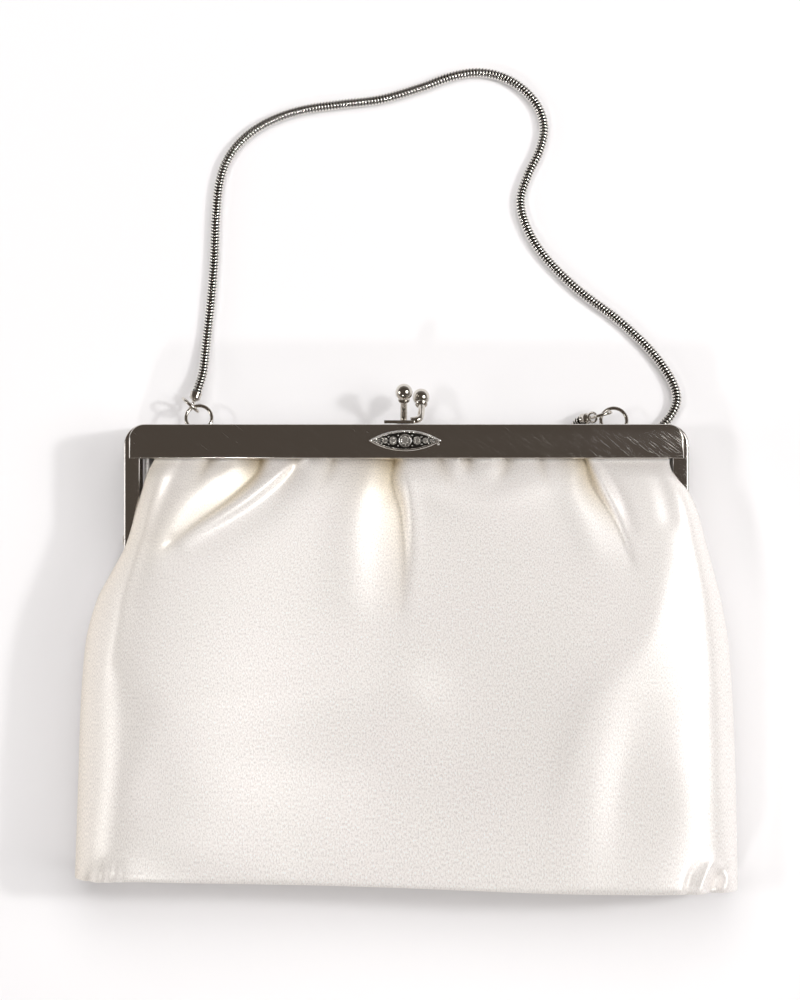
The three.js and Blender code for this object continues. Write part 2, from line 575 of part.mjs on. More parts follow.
add('frame_front', frameFront(), steel);
add('frame_back', frameBack(), steel);
add('bar_plate_front', barPlate(1), steel);
add('bar_plate_back', barPlate(-1), steel);
add('hinge_rivet_left', hingeRivet(-1), steel);
add('hinge_rivet_right', hingeRivet(1), steel);
KNOBS.forEach((knob) => add(knob.name, claspKnob(knob), steel));
add('ornament', ornament(), crystal);
HANDLE_ENDS.forEach((row) => {
  add(`frame_ring_${row.name}`, frameRing(row), steel);
  add(`chain_link_${row.name}`, chainLink(row), steel);
  add(`chain_cap_${row.name}`, chainCap(row), steel);
});
add('snake_chain', snakeChain(), steel);
add('front_panel', frontPanel(), satin);
add('back_panel', backPanel(), satin);
add('gusset_left', gusset(-1), satin);
add('gusset_right', gusset(1), satin);
add('base_panel', basePanel(), satin);

export default handbag;
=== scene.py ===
# %% [markdown]
# # An ivory satin evening bag
# The bag lies on its back and is seen from straight above: a gathered satin body, a hinged nickel
# frame with a kiss lock, a small stone-set ornament and a snake-chain handle. The construction
# comes as a fixed frame of plain solids. This lesson dresses each solid with a finer piece, so the
# first step loads the frame.

import math
from collections import namedtuple
from functools import lru_cache

import bmesh
import bpy
import numpy as np
from mathutils import Matrix, Vector


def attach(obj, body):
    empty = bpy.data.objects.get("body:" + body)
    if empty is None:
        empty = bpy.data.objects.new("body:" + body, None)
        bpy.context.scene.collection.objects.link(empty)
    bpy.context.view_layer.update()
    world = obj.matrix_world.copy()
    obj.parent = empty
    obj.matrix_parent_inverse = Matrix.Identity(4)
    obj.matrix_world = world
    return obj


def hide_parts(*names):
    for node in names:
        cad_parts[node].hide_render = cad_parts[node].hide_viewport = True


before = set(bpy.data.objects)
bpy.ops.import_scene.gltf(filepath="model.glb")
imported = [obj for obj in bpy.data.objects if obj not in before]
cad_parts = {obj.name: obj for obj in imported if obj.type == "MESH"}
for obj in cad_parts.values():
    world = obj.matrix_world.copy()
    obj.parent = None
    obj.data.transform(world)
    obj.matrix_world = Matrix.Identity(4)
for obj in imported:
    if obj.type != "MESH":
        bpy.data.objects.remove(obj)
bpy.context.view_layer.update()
print("solids in the frame:", len(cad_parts))

# %% [markdown]
# ## A way to finish every piece
# Leather and metal workers think in millimetres, and so does this lesson. Each piece is shaped in a
# bmesh in millimetres. One helper then turns it into a mesh in metres at the origin, marks the
# edges that should stay crisp, and says which solid the piece stands for. Doing this in one place
# keeps every later cell about shape alone.

# %% Turn a bmesh into a piece
MM = 0.001
CRISP = math.radians(35)


def stand_for(node, bm, name, slot, *materials, crisp=CRISP):
    """Make a piece in metres of a bmesh in millimetres, in place of one solid of the frame."""
    mesh = bpy.data.meshes.new(name)
    bm.to_mesh(mesh)
    bm.free()
    mesh.transform(Matrix.Scale(MM, 4))
    for material in materials:
        mesh.materials.append(material)
    mesh.shade_smooth()
    mesh.set_sharp_from_angle(angle=crisp)
    piece = bpy.data.objects.new(name, mesh)
    bpy.context.scene.collection.objects.link(piece)
    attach(piece, "root")
    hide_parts(node)
    print(f"{name} stands for {node}: {len(mesh.polygons)} faces")
    return piece


# %% [markdown]
# ## The camera
# A picture taken straight down, from well above, has almost no perspective. The camera hangs 1.3 m
# over the table and sees 320 mm of it along the tall side of the picture, so the lens follows from
# those two sizes.

# %% Hang the camera over the bag
CAMERA_HEIGHT = 1.3
SEEN_LENGTH = 0.320
CAMERA_X = -0.0020
CAMERA_Y = -0.0081
SENSOR_MM = 36

camera_data = bpy.data.cameras.new("overhead_camera")
camera_data.sensor_width = SENSOR_MM
camera_data.lens = SENSOR_MM * CAMERA_HEIGHT / SEEN_LENGTH
camera = bpy.data.objects.new("overhead_camera", camera_data)
camera.location = (CAMERA_X, CAMERA_Y, CAMERA_HEIGHT)
bpy.context.scene.collection.objects.link(camera)
bpy.context.scene.camera = camera
print("lens, mm:", round(camera_data.lens, 2))

# %% [markdown]
# ## Two small tools for materials
# A colour is easiest to pick as the hex value that a screen shows, but shaders count in linear
# light, so one function converts. A second one adds a node, sets its properties and fills its
# inputs, either with a value or with another node's output. With these two, a material reads from
# top to bottom like a recipe.

# %% Colours and nodes
SRGB_KNEE = 0.04045


def linear(hex_colour, alpha=1.0):
    """An sRGB hex colour as linear light."""
    channels = [int(hex_colour[k:k + 2], 16) / 255 for k in (1, 3, 5)]
    return [c / 12.92 if c <= SRGB_KNEE else ((c + 0.055) / 1.055) ** 2.4 for c in channels] + [alpha]


def add_node(tree, kind, inputs=None, **settings):
    """Add a node with its properties, and fill its inputs with values or with other nodes' outputs."""
    node = tree.nodes.new("ShaderNode" + kind)
    for name, value in settings.items():
        setattr(node, name, value)
    for name, value in (inputs or {}).items():
        if isinstance(value, bpy.types.NodeSocket):
            tree.links.new(value, node.inputs[name])
        else:
            node.inputs[name].default_value = value
    return node


def new_material(name):
    """An empty node material and its tree."""
    material = bpy.data.materials.new(name)
    material.use_nodes = True
    material.node_tree.nodes.clear()
    return material, material.node_tree


print("mid grey in linear light:", linear("#808080"))


# %% [markdown]
# ## The table and the light
# The table is plain matt white. Polished metal shows what is round it, so the light matters as much
# as the metal: a strong lamp stands at the right with a soft panel behind it, a weaker lamp on the
# base side and a low soft panel at the left, and the room overhead is dark. That dark ceiling is
# what makes a flat plate of nickel look nearly black from above. Two fill lights even out the table
# and the left side of the cloth. They are hidden from reflections, as in a studio where they are
# flagged off. The view transform is set to Standard, which keeps whites white.

# %% The white table
TABLE_SIZE = 6.0


def table_material():
    """Matt white laminate: an even, faintly mottled white that takes soft shadows."""
    material, tree = new_material("matt_white_laminate")
    place = add_node(tree, "TexCoord").outputs["Object"]
    mottle = add_node(tree, "TexNoise", {"Vector": place, "Scale": 3.0, "Detail": 2.0})
    shade = add_node(tree, "Mix", {
        "Factor": mottle.outputs["Fac"], "A": linear("#E9E7E8"), "B": linear("#EDECED"),
    }, data_type="RGBA")
    shader = add_node(tree, "BsdfPrincipled", {
        "Base Color": shade.outputs["Result"], "Roughness": 0.75, "Specular IOR Level": 0.2,
    })
    add_node(tree, "OutputMaterial", {"Surface": shader.outputs["BSDF"]})
    return material


table_mesh = bpy.data.meshes.new("table")
table_bm = bmesh.new()
bmesh.ops.create_grid(table_bm, x_segments=1, y_segments=1, size=TABLE_SIZE / 2)
table_bm.to_mesh(table_mesh)
table_bm.free()
table_mesh.materials.append(table_material())
table = bpy.data.objects.new("table", table_mesh)
bpy.context.scene.collection.objects.link(table)
print("table, metres across:", TABLE_SIZE)

# %% Soft boxes and a dim room
SoftBox = namedtuple("SoftBox", "name azimuth elevation distance size power")
SOFT_BOXES = [
    SoftBox("right_lamp", 9, 47, 2.4, 0.22, 16.0),
    SoftBox("base_lamp", 249, 43, 2.4, 0.20, 7.0),
    SoftBox("right_panel", 5, 50, 2.2, 1.4, 15.0),
    SoftBox("left_panel", 185, 24, 2.2, 1.0, 8.0),
]
HIDDEN_BOXES = [
    SoftBox("left_fill", 180, 58, 2.2, 0.25, 6.0),
    SoftBox("ceiling_fill", 90, 66, 2.2, 2.0, 28.0),
]


def hang(box):
    """Place an area light on a dome round the bag, turned to its middle."""
    data = bpy.data.lights.new(box.name, "AREA")
    data.shape = "DISK"
    data.size = box.size
    data.energy = box.power
    light = bpy.data.objects.new(box.name, data)
    turn, lift = math.radians(box.azimuth), math.radians(box.elevation)
    way = Vector((math.cos(turn) * math.cos(lift), math.sin(turn) * math.cos(lift), math.sin(lift)))
    light.location = way * box.distance
    light.rotation_euler = way.to_track_quat("Z", "Y").to_euler()
    bpy.context.scene.collection.objects.link(light)
    return light


def dim_room():
    """A world that is pale at the horizon and dark overhead."""
    world = bpy.data.worlds.new("dim_room")
    world.use_nodes = True
    tree = world.node_tree
    tree.nodes.clear()
    way = add_node(tree, "TexCoord").outputs["Generated"]
    height = add_node(tree, "SeparateXYZ", {"Vector": way}).outputs["Z"]
    shade = add_node(tree, "ValToRGB", {"Fac": height})
    horizon, ceiling = shade.color_ramp.elements
    horizon.position, horizon.color = 0.05, linear("#8E8B88")
    ceiling.position, ceiling.color = 0.55, linear("#57504A")
    back = add_node(tree, "Background", {"Color": shade.outputs["Color"], "Strength": 1.0})
    add_node(tree, "OutputWorld", {"Surface": back.outputs["Background"]})
    return world


for box in SOFT_BOXES:
    hang(box)
for box in HIDDEN_BOXES:
    hang(box).visible_glossy = False
bpy.context.scene.world = dim_room()
bpy.context.scene.view_settings.view_transform = "Standard"
print("soft boxes:", [box.name for box in SOFT_BOXES + HIDDEN_BOXES])

# %% [markdown]
# ## Ivory satin
# The cloth is a heavy bridal satin: long silky floats run down the cloth and hide the cross
# threads, so it has a broad lustre over a warm white and a fine grain. The lustre is a wide,
# slightly metallic lobe that spreads across the floats, so the shader is anisotropic along the
# width of the cloth. The threads are about 0.2 mm apart, too fine to show at this size, so the grain
# is drawn at 0.4 mm across and 0.7 mm along. Deep creases and the left edge lie in shade, where light
# bounces from cloth to cloth and turns warmer, so an attribute of the mesh paints that warm shade
# into the colour there as a darker cream: this is painted shade.

# %% Satin
GRAIN_ACROSS = 0.4 * MM
GRAIN_ALONG = 0.7 * MM
BLUSH_SIZE = 26 * MM


def satin_material():
    """Ivory duchesse satin: a warm white, a wide lustre, a fine grain and painted shade in the creases.
    """
    material, tree = new_material("ivory_duchesse_satin")
    cloth = add_node(tree, "UVMap", uv_map="Cloth").outputs["UV"]
    streaks = add_node(tree, "Mapping", {
        "Vector": cloth, "Scale": (1 / GRAIN_ACROSS, 1 / GRAIN_ALONG, 1.0),
    }).outputs["Vector"]
    grain = add_node(tree, "TexNoise", {"Vector": streaks, "Scale": 1.0, "Detail": 2.0, "Roughness": 0.6})
    blush = add_node(tree, "TexNoise", {"Vector": cloth, "Scale": 1 / BLUSH_SIZE, "Detail": 1.0})
    ivory = add_node(tree, "Mix", {
        "Factor": blush.outputs["Fac"], "A": linear("#FBF5F2"), "B": linear("#FAF6F1"),
    }, data_type="RGBA")
    # painted shade: a darker cream is mixed into the ivory where the mesh marks deep creases and the left
    # edge
    hollow = add_node(tree, "Attribute", attribute_name="hollow").outputs["Fac"]
    shaded_ivory = add_node(tree, "Mix", {
        "Factor": hollow, "A": ivory.outputs["Result"], "B": linear("#D6C5A2"),
    }, data_type="RGBA")
    speck = add_node(tree, "MapRange", {
        "Value": grain.outputs["Fac"], "From Min": 0.3, "From Max": 0.7, "To Min": 0.78, "To Max": 1.2,
    })
    colour = add_node(tree, "Mix", {
        "Factor": 1.0, "A": shaded_ivory.outputs["Result"], "B": speck.outputs["Result"],
    }, data_type="RGBA", blend_type="MULTIPLY")
    gloss = add_node(tree, "MapRange", {
        "Value": grain.outputs["Fac"], "From Min": 0.3, "From Max": 0.7, "To Min": 0.52, "To Max": 0.44,
    })
    bump = add_node(tree, "Bump", {
        "Height": grain.outputs["Fac"], "Strength": 0.35, "Distance": 0.1 * MM,
    })
    across = add_node(tree, "Tangent", direction_type="UV_MAP", uv_map="Cloth")
    shader = add_node(tree, "BsdfPrincipled", {
        "Base Color": colour.outputs["Result"], "Roughness": gloss.outputs["Result"],
        "Metallic": 0.40, "IOR": 1.8, "Specular IOR Level": 1.0,
        "Anisotropic": 0.5, "Anisotropic Rotation": 0.25,
        "Tangent": across.outputs["Tangent"], "Normal": bump.outputs["Normal"],
    })
    add_node(tree, "OutputMaterial", {"Surface": shader.outputs["BSDF"]})
    return material


SATIN = satin_material()
print("satin grain, mm:", GRAIN_ACROSS / MM, "by", GRAIN_ALONG / MM)

# %% [markdown]
# ## Polished nickel
# The frame, the clasp and the handle are steel, nickel plated and buffed. Nickel is a warm grey
# metal with sharp reflections. Years of hands leave fine slanting scratches that catch the light,
# so a noise stretched along a slant roughens the polish in thin streaks and tips the surface a
# little. Real scratches are finer than a hair, and these are drawn 0.28 mm wide so that they show.

# %% Nickel
SCRATCH_WIDTH = 0.28 * MM
SCRATCH_LENGTH = 5 * MM
SCRATCH_SLANT = math.radians(-38)
SCRATCH_DULLING = 0.22
SMUDGE_SIZE = 9 * MM


def nickel_material(name, tint, polish, scratch_bump):
    """Nickel plating: a warm grey mirror, dulled in streaks where it is scratched."""
    material, tree = new_material(name)
    place = add_node(tree, "TexCoord").outputs["Object"]
    slanted = add_node(tree, "Mapping", {
        "Vector": place, "Rotation": (0, 0, SCRATCH_SLANT),
        "Scale": (SCRATCH_LENGTH, SCRATCH_WIDTH, SCRATCH_LENGTH),
    }, vector_type="TEXTURE").outputs["Vector"]
    scratch = add_node(tree, "TexNoise", {"Vector": slanted, "Scale": 1.0, "Detail": 2.0})
    worn = add_node(tree, "MapRange", {
        "Value": scratch.outputs["Fac"], "From Min": 0.56, "From Max": 0.80, "To Min": 0.0, "To Max": 1.0,
    })
    smudge = add_node(tree, "TexNoise", {"Vector": place, "Scale": 1 / SMUDGE_SIZE, "Detail": 2.0})
    dull = add_node(tree, "Math", {
        0: worn.outputs["Result"], 1: smudge.outputs["Fac"],
    }, operation="MULTIPLY")
    rough = add_node(tree, "MapRange", {
        "Value": dull.outputs["Value"], "From Min": 0.0, "From Max": 0.7,
        "To Min": polish, "To Max": polish + SCRATCH_DULLING,
    })
    bump = add_node(tree, "Bump", {
        "Height": worn.outputs["Result"], "Strength": scratch_bump, "Distance": 0.02 * MM,
    })
    shader = add_node(tree, "BsdfPrincipled", {
        "Base Color": linear(tint), "Metallic": 1.0, "Roughness": rough.outputs["Result"],
        "Normal": bump.outputs["Normal"],
    })
    add_node(tree, "OutputMaterial", {"Surface": shader.outputs["BSDF"]})
    return material


# the frame is scratched, the small parts are brighter, the ornament is a whiter plating on a dark
# ground that sets off its stones
NICKEL = nickel_material("polished_nickel_plate", "#D6D1CB", 0.12, 0.6)
BRIGHT_NICKEL = nickel_material("bright_nickel_plate", "#D9D4CC", 0.07, 0.1)
RHODIUM = nickel_material("rhodium_plate", "#F6F4F0", 0.20, 0.1)
OXIDE = nickel_material("oxidised_silver", "#3A3733", 0.40, 0.1)
print("scratches, mm:", SCRATCH_WIDTH / MM, "by", SCRATCH_LENGTH / MM)

# %% [markdown]
# ## Paste stones
# The ornament holds small cut glass stones with foil behind them. Foil-backed glass flashes like a
# tiny set of mirrors, some facets white and some nearly black, so the stones are given a thin clear
# coat over a silvery, very smooth base. The flat facets do the rest.

# %% Stones


def stone_material():
    """Foil-backed paste: clear glass over silver foil, bright and dark by turns."""
    material, tree = new_material("foil_backed_paste")
    place = add_node(tree, "TexCoord").outputs["Object"]
    flaw = add_node(tree, "TexNoise", {"Vector": place, "Scale": 1 / MM, "Detail": 1.0})
    foil = add_node(tree, "Mix", {
        "Factor": flaw.outputs["Fac"], "A": linear("#B9B6B0"), "B": linear("#F4F2EE"),
    }, data_type="RGBA")
    shader = add_node(tree, "BsdfPrincipled", {
        "Base Color": foil.outputs["Result"], "Metallic": 0.85, "Roughness": 0.05,
        "Coat Weight": 1.0, "Coat Roughness": 0.02,
    })
    add_node(tree, "OutputMaterial", {"Surface": shader.outputs["BSDF"]})
    return material


PASTE = stone_material()
print("stone material:", PASTE.name)

# %% [markdown]
# ## The shape of the satin body
# The body is cut as a front, a back, two gussets and a firm base. Its shape is easiest to describe
# as sections across it, one every few millimetres of drop below the top of the frame: how far it
# reaches to the left and right, how high the front stands in the middle and at its side edges, and
# where the back lies. A smooth curve through each column of the table gives any section between.

# %% Sections of the body
FRAME_TOP = 15.7
CLOTH = 1.2
GAP = 0.3
ROLL = 2.2
EDGE_CROWDING = 0.6
LEAN = 0.00011
BaseSag = namedtuple("BaseSag", "depth x wide steep")
BASE_SAGS = [BaseSag(1.7, 60, 65, 4), BaseSag(0.9, -97, 8, 12)]

Section = namedtuple("Section", "drop left right crown edge square back back_edge")
SECTIONS = [
    Section(7, -77.5, 80.5, 24.4, 24.2, 3, 8.6, 8.7),
    Section(10.8, -78.9, 82.2, 24.8, 24.7, 3, 8.2, 8.2),
    Section(14, -80.6, 83, 27.6, 26.2, 3, 6.2, 6.2),
    Section(17, -81.8, 85, 29.8, 27, 3, 4.8, 4.9),
    Section(21, -82.9, 88.4, 31.8, 27.3, 3, 4, 5),
    Section(27, -84.7, 91.2, 33.6, 27.4, 3, 2.8, 5),
    Section(38, -87.8, 94.2, 35.2, 27.3, 3.5, 1.2, 5),
    Section(47, -92.6, 96.8, 36, 25.5, 4, 0.2, 4.5),
    Section(56, -97.3, 99.2, 36.6, 23.5, 4.5, 0, 4),
    Section(70, -101, 101.6, 37.3, 21, 5.5, 0, 3.6),
    Section(90, -102.6, 103, 38.2, 20, 6.5, 0, 3.5),
    Section(115, -103.4, 103.9, 38.8, 20, 7, 0, 3.5),
    Section(144, -104.4, 104.4, 38.4, 20, 7, 0, 3.5),
]
BODY_TOP = SECTIONS[0].drop
BASE_DROP = SECTIONS[-1].drop


def lerp(a, b, t):
    return a + (b - a) * t


def smooth(value, low, high):
    """A soft step from 0 at low to 1 at high."""
    t = np.clip((value - low) / (high - low), 0, 1)
    return t * t * (3 - 2 * t)


@lru_cache(maxsize=None)
def section(drop):
    """The body's section at any drop, on cubics that keep the table's rises and falls."""
    rows = np.array(SECTIONS, float)
    drops, last = rows[:, 0], len(rows) - 1
    slopes = np.diff(rows, axis=0) / np.diff(drops)[:, None]
    k = min(max(int(np.searchsorted(drops, drop, side="right")), 1), last) - 1
    span = drops[k + 1] - drops[k]
    t = (drop - drops[k]) / span

    def tangent(i):
        if i in (0, last):
            return slopes[min(i, last - 1)]
        before, after = slopes[i - 1], slopes[i]
        agree = before * after > 0
        total = np.where(agree, before + after, 1)
        return np.where(agree, 2 * before * after / total, 0)

    ease = t * t * (3 - 2 * t)
    curve = (1 - t) * tangent(k) - t * tangent(k + 1)
    return Section(*(lerp(rows[k], rows[k + 1], ease) + span * t * (1 - t) * curve))


def on_body(x, drop, z):
    """A place on the body, whose right side hangs a little lower and whose base sags."""
    share = max(drop / BASE_DROP, 0)
    sag = 0
    for dip in BASE_SAGS:
        sag += dip.depth * math.exp(-((x - dip.x) / dip.wide) ** 2) * share ** dip.steep
    return Vector((x, FRAME_TOP - drop * (1 + LEAN * x) - sag, z))


def front_smooth(u, drop):
    """The front without folds, for u from -1 at its left edge to 1 at its right."""
    cut = section(drop)
    share = lerp(u, math.sin(u * math.pi / 2), EDGE_CROWDING)
    roll = max(1 - abs(share) ** cut.square, 0) ** (1 / ROLL)
    return on_body(lerp(cut.left, cut.right, (share + 1) / 2), drop, lerp(cut.edge, cut.crown, roll))


print("sections:", len(SECTIONS))
print("middle of the front at half drop, mm:", front_smooth(0, BASE_DROP / 2))

# %% [markdown]
# ## Pleats, swags and soft dents
# The cloth is wider than the frame, so it is pleated under the bar at three places, and each pleat
# fans out into folds. A fold here is a stroke of a brush over the cloth: a smooth line through a few
# places, from where it starts to where it dies out, a width and a height at both ends, and how sharp
# its crease is. A negative height presses a valley. A pleat lies over to one side, so the width of
# its right slope is given as a share of the left one's. Wide, soft strokes make the slack middle and
# the stuffed sides. Real folds could come from a cloth simulation, but these have to lie where this
# bag has them, so they are sculpted stroke by stroke.

# %% Strokes for the folds
Fold = namedtuple("Fold", "line wide steep lift sharp")
FOLDS = [
    # the left pleat: a bright swag down to a crease, a thin ridge beside it and a soft hollow
    Fold([(-45.1, 8.8), (-47.3, 16), (-55.8, 24.1), (-65.1, 30.7), (-74.5, 37.9)],
         (7, 6), 0.2, (-4.8, -0.9), 1.2),
    Fold([(-53.6, 11.9), (-63, 17.5), (-71.4, 25.4), (-77, 33.8)], (3.5, 4), 1.0, (1.4, 0.8), 2),
    Fold([(-33.3, 10.7), (-43.3, 18.5), (-55.8, 27.2), (-69.2, 36.6)], (1.6, 2.4), 1.0, (1.7, 0.6), 2),
    Fold([(-36.4, 15.7), (-47, 25.7), (-61.7, 34.1), (-72, 37.2)], (2.2, 2.6), 2.4, (-1.9, -1.3), 2),
    Fold([(-60.8, 9.4), (-63.3, 13.8), (-65.8, 18.2)], (2.4, 2.6), 0.7, (-2.2, -0.3), 1.6),
    # the roll along the left edge and the hollow beside it
    Fold([(-74.2, 10.7), (-80.5, 27.6), (-86.4, 47.2), (-93.3, 73.8)], (2.6, 4), 1.0, (1.5, 0.8), 2),
    Fold([(-71.4, 11.3), (-78, 27.6), (-86.4, 55.1)], (2.4, 3), 1.0, (-1.0, -0.4), 2),
    # the middle pleat: a wide slope into the crease, a thin ridge on the far side
    Fold([(-2.9, 8.8), (-4.5, 17.5), (-1.7, 27.6), (-0.7, 42.6), (-2, 61.3)],
         (8, 9), 0.24, (-5.2, -0.3), 1.2),
    Fold([(-10.8, 13.8), (-16.4, 28.5), (-17.6, 51.9)], (5, 7), 1.0, (1.6, 0.6), 2),
    Fold([(-1.4, 10.7), (1.4, 23.8), (1.8, 39.4), (0.8, 55.1)], (1.7, 2.8), 1.2, (0.9, 0.2), 2),
    # a pucker right of the middle between two puffs, over a shallow swag
    Fold([(19.6, 9.4), (19.6, 12.5), (19.9, 16.3)], (2.6, 2.6), 0.6, (-2.6, -0.2), 1.5),
    Fold([(24.9, 11.3), (26.1, 13.5), (28.3, 16)], (2.4, 3), 1.0, (1.5, 0.3), 2),
    Fold([(16.1, 11.3), (15.2, 13.5), (13, 16)], (2.2, 3), 1.0, (1.2, 0.3), 2),
    Fold([(4.3, 18.2), (21.4, 26), (43.3, 17.5)], (5, 5), 1.0, (0.9, 0.9), 2),
    # small gathers along the bar
    Fold([(-33.3, 8.8), (-35.8, 14.4), (-39.5, 20.7)], (2.2, 3), 0.6, (-2.2, -0.3), 1.6),
    Fold([(-22.3, 8.8), (-23.9, 13.8), (-26.4, 18.8)], (2, 3), 0.7, (-1.6, -0.2), 1.6),
    Fold([(10.5, 8.8), (11.8, 13.8), (14.3, 18.8)], (2.4, 3), 0.7, (-1.8, -0.3), 1.6),
    Fold([(32.4, 8.8), (31.1, 13.8), (28.6, 18.8)], (2.4, 3), 0.7, (-2, -0.3), 1.6),
    Fold([(42.1, 8.8), (42.7, 14.4), (44.6, 20.0)], (2, 3), 0.7, (-1.4, -0.2), 1.6),
    Fold([(74.6, 9.7), (79.3, 18.2), (81.8, 29.4)], (3, 3), 1.0, (-2, -0.8), 2),
    # the right pleat and the ridges that fan out from it
    Fold([(55.8, 8.8), (59.3, 20), (64.6, 29.4), (69.9, 42.6)], (5.5, 4.5), 0.22, (-5.4, -0.6), 1.2),
    Fold([(52.7, 11.9), (52.1, 21.3), (58, 38.8)], (3.4, 4.5), 1.0, (1.7, 0.5), 2),
    Fold([(57.1, 10.7), (62.5, 21), (66.5, 30)], (1.8, 2.4), 1.0, (1.8, 0.3), 2),
    Fold([(60.5, 10.7), (66.2, 21.5), (70, 33)], (1.6, 2.2), 1.0, (-1.5, -0.5), 2),
    Fold([(86.8, 14.4), (93, 30), (98, 55), (100, 80)], (8, 12), 0.7, (2.2, 1.6), 2),
    # the long fold that swings down the right side, with the hollow and the roll beyond it
    Fold([(77.7, 13.8), (83.7, 37.9), (76.8, 66), (59.9, 87.9), (52.1, 114.5), (47.4, 150.4)],
         (8, 6), 3.5, (1.4, 1.2), 2),
    Fold([(73, 83.2), (68, 114.5), (64.3, 161.3)], (9, 10), 1.2, (-0.4, -3.4), 2),
    Fold([(98.7, 80.1), (96.5, 114.5), (95.2, 161.3)], (16, 18), 0.5, (1.4, 4.8), 2),
    # the slack middle, a cross fold left of it, and the long slopes down to it from both sides
    Fold([(-10.8, 42.6), (-12.6, 80.1), (-13.9, 111.3), (-14.5, 161.3)],
         (42, 42), 0.60, (-4.2, -8.0), 2),
    Fold([(19.9, 42.6), (19.9, 80.1), (17.4, 117.6), (17.4, 161.3)], (22, 22), 1.36, (-2.4, -4.8), 2),
    Fold([(-72.3, 90.1), (-36.4, 86.9), (-2, 83.2)], (18, 18), 0.45, (2.2, 2.2), 2),
    Fold([(-82.7, 36.3), (-87.0, 61.3), (-88.3, 86.3), (-88.3, 111.3), (-90.2, 139.5), (-91.4, 161.3)],
         (13, 13), 2.4, (2.6, 4.8), 2),
    Fold([(79.3, 42.6), (76.8, 66.0), (59.9, 87.9), (52.1, 114.5), (47.4, 161.3)],
         (40, 40), 1.0, (1.2, 1.6), 1.3),
    Fold([(79.9, 39.4), (77.7, 61.3), (65.2, 83.2)], (22, 20), 2.0, (2.6, 1.8), 2),
    # bunched cloth in the bottom corners: small scallops at the left, an arched tuck at the right
    Fold([(-98, 136), (-72, 137), (-45, 141)], (9, 9), 1.0, (7, 2.4), 2),
    Fold([(-99.6, 147), (-98.8, 142), (-97, 138)], (1.5, 1.8), 1.0, (-3.6, -0.4), 2),
    Fold([(-95, 147), (-94.6, 142), (-93.4, 137)], (1.5, 1.8), 1.0, (-3.4, -0.3), 2),
    Fold([(-91, 147), (-90.8, 142), (-90, 137)], (1.3, 1.6), 1.0, (-3.0, -0.3), 2),
    Fold([(91, 146), (95.5, 137), (101.5, 143)], (1.3, 1.3), 1.0, (1.5, 1.5), 2),
    Fold([(95.5, 148), (96.8, 143), (98.5, 140)], (2.2, 2.0), 1.0, (-5.0, -3.0), 2),
    Fold([(87.5, 146), (88.5, 141), (91, 137)], (1.2, 1.4), 1.0, (-1.6, -0.3), 2),
]
STROKE_STEPS = 8
TUCK_UNDER = 11
TUCK_FREE = 17
BASE_HOLD = 0.8
BASE_REACH = 40
NARROW_FOLD = 2.5
SOFT_FOLD = 2


def through(points, steps):
    """Points along a smooth curve through a few chosen ones."""
    spots = [Vector(point) for point in points]
    spots = [2 * spots[0] - spots[1], *spots, 2 * spots[-1] - spots[-2]]
    line = []
    for a, b, c, d in zip(spots, spots[1:], spots[2:], spots[3:]):
        for k in range(steps):
            t = k / steps
            line.append(0.5 * (2 * b + (c - a) * t + (2 * a - 5 * b + 4 * c - d) * t * t
                               + (3 * b - a - 3 * c + d) * t ** 3))
    return line + [spots[-2]]


def lift_of(fold, places):
    """How far one fold lifts each place, given as rows of x and drop."""
    line = np.array(through(fold.line, STROKE_STEPS))
    runs = np.diff(line, axis=0)
    offset = places[:, None, :] - line[:-1]
    along = np.clip((offset * runs).sum(2) / (runs * runs).sum(1), 0, 1)
    gaps = offset - along[:, :, None] * runs
    nearest = np.linalg.norm(gaps, axis=2).argmin(1)
    rows = np.arange(len(places))
    gap, run = gaps[rows, nearest], runs[nearest]
    distance = np.linalg.norm(gap, axis=1) + 1e-9
    share = (nearest + along[rows, nearest]) / len(runs)
    side = (run[:, 0] * gap[:, 1] - run[:, 1] * gap[:, 0]) / np.linalg.norm(run, axis=1) / distance
    width = lerp(*fold.wide, share) * lerp(fold.steep, 1, (side + 1) / 2)
    return lerp(*fold.lift, share) * np.exp(-(distance / width) ** fold.sharp)


def fold_lift(places, folds):
    """Some folds together. A ridge starts only where the cloth is free of the bar, and wide folds die
    out at the bottom, where the firm base keeps the cloth straight."""
    drop = places[:, 1]
    tamed = 1 - BASE_HOLD * smooth(drop, BASE_DROP - BASE_REACH, BASE_DROP)
    lift = 0
    for fold in folds:
        lift = lift + lift_of(fold, places) * (tamed if max(fold.wide) > NARROW_FOLD else 1)
    ridge_free = smooth(drop, TUCK_UNDER, TUCK_FREE)
    valley_free = smooth(drop, BODY_TOP, TUCK_UNDER)
    return lift * np.where(lift > 0, ridge_free, valley_free)


print("folds:", len(FOLDS))

# %% [markdown]
# ## The front panel
# A flat grid of small squares is the cloth on the cutting table, with a map of where each square
# lies on it. Each point is then moved onto the body: to its section, up or down with the folds, and
# over the firm edge of the base in a small round. A Solidify modifier gives the cloth its
# thickness.

# %% Lay a grid of cloth over the body
FRONT_SQUARES = (250, 170)
TOP_CROWDING = 1.3
SIDE_FADE = 14
# painted shade: crease depth that gets the full painted shade, and how much painted shade the left edge
# gets
DEEP_HOLLOW = 5.0
LEFT_EDGE_SHADE = 0.45
LEFT_EDGE_SHADE_FADE = 8
HEM_ROUND = 1.7
HEM_DOWN = 2.4
HEM_LENGTH = HEM_ROUND * math.pi / 2 + HEM_DOWN
CLOTH_EASE = 0.35
FRONT_WIDTH = 236
UP = Vector((0, 0, 1))


def cloth_grid(squares, place):
    """A grid of cloth whose points are moved by place(u, v), and where each point lay on the flat grid.
    """
    bm = bmesh.new()
    bm.verts.layers.float.new("hollow")
    bmesh.ops.create_grid(bm, x_segments=squares[0], y_segments=squares[1], size=1)
    flat = {vert: vert.co.copy() for vert in bm.verts}
    for vert in bm.verts:
        vert.co = place(flat[vert].x, (1 - flat[vert].y) / 2)
    return bm, flat


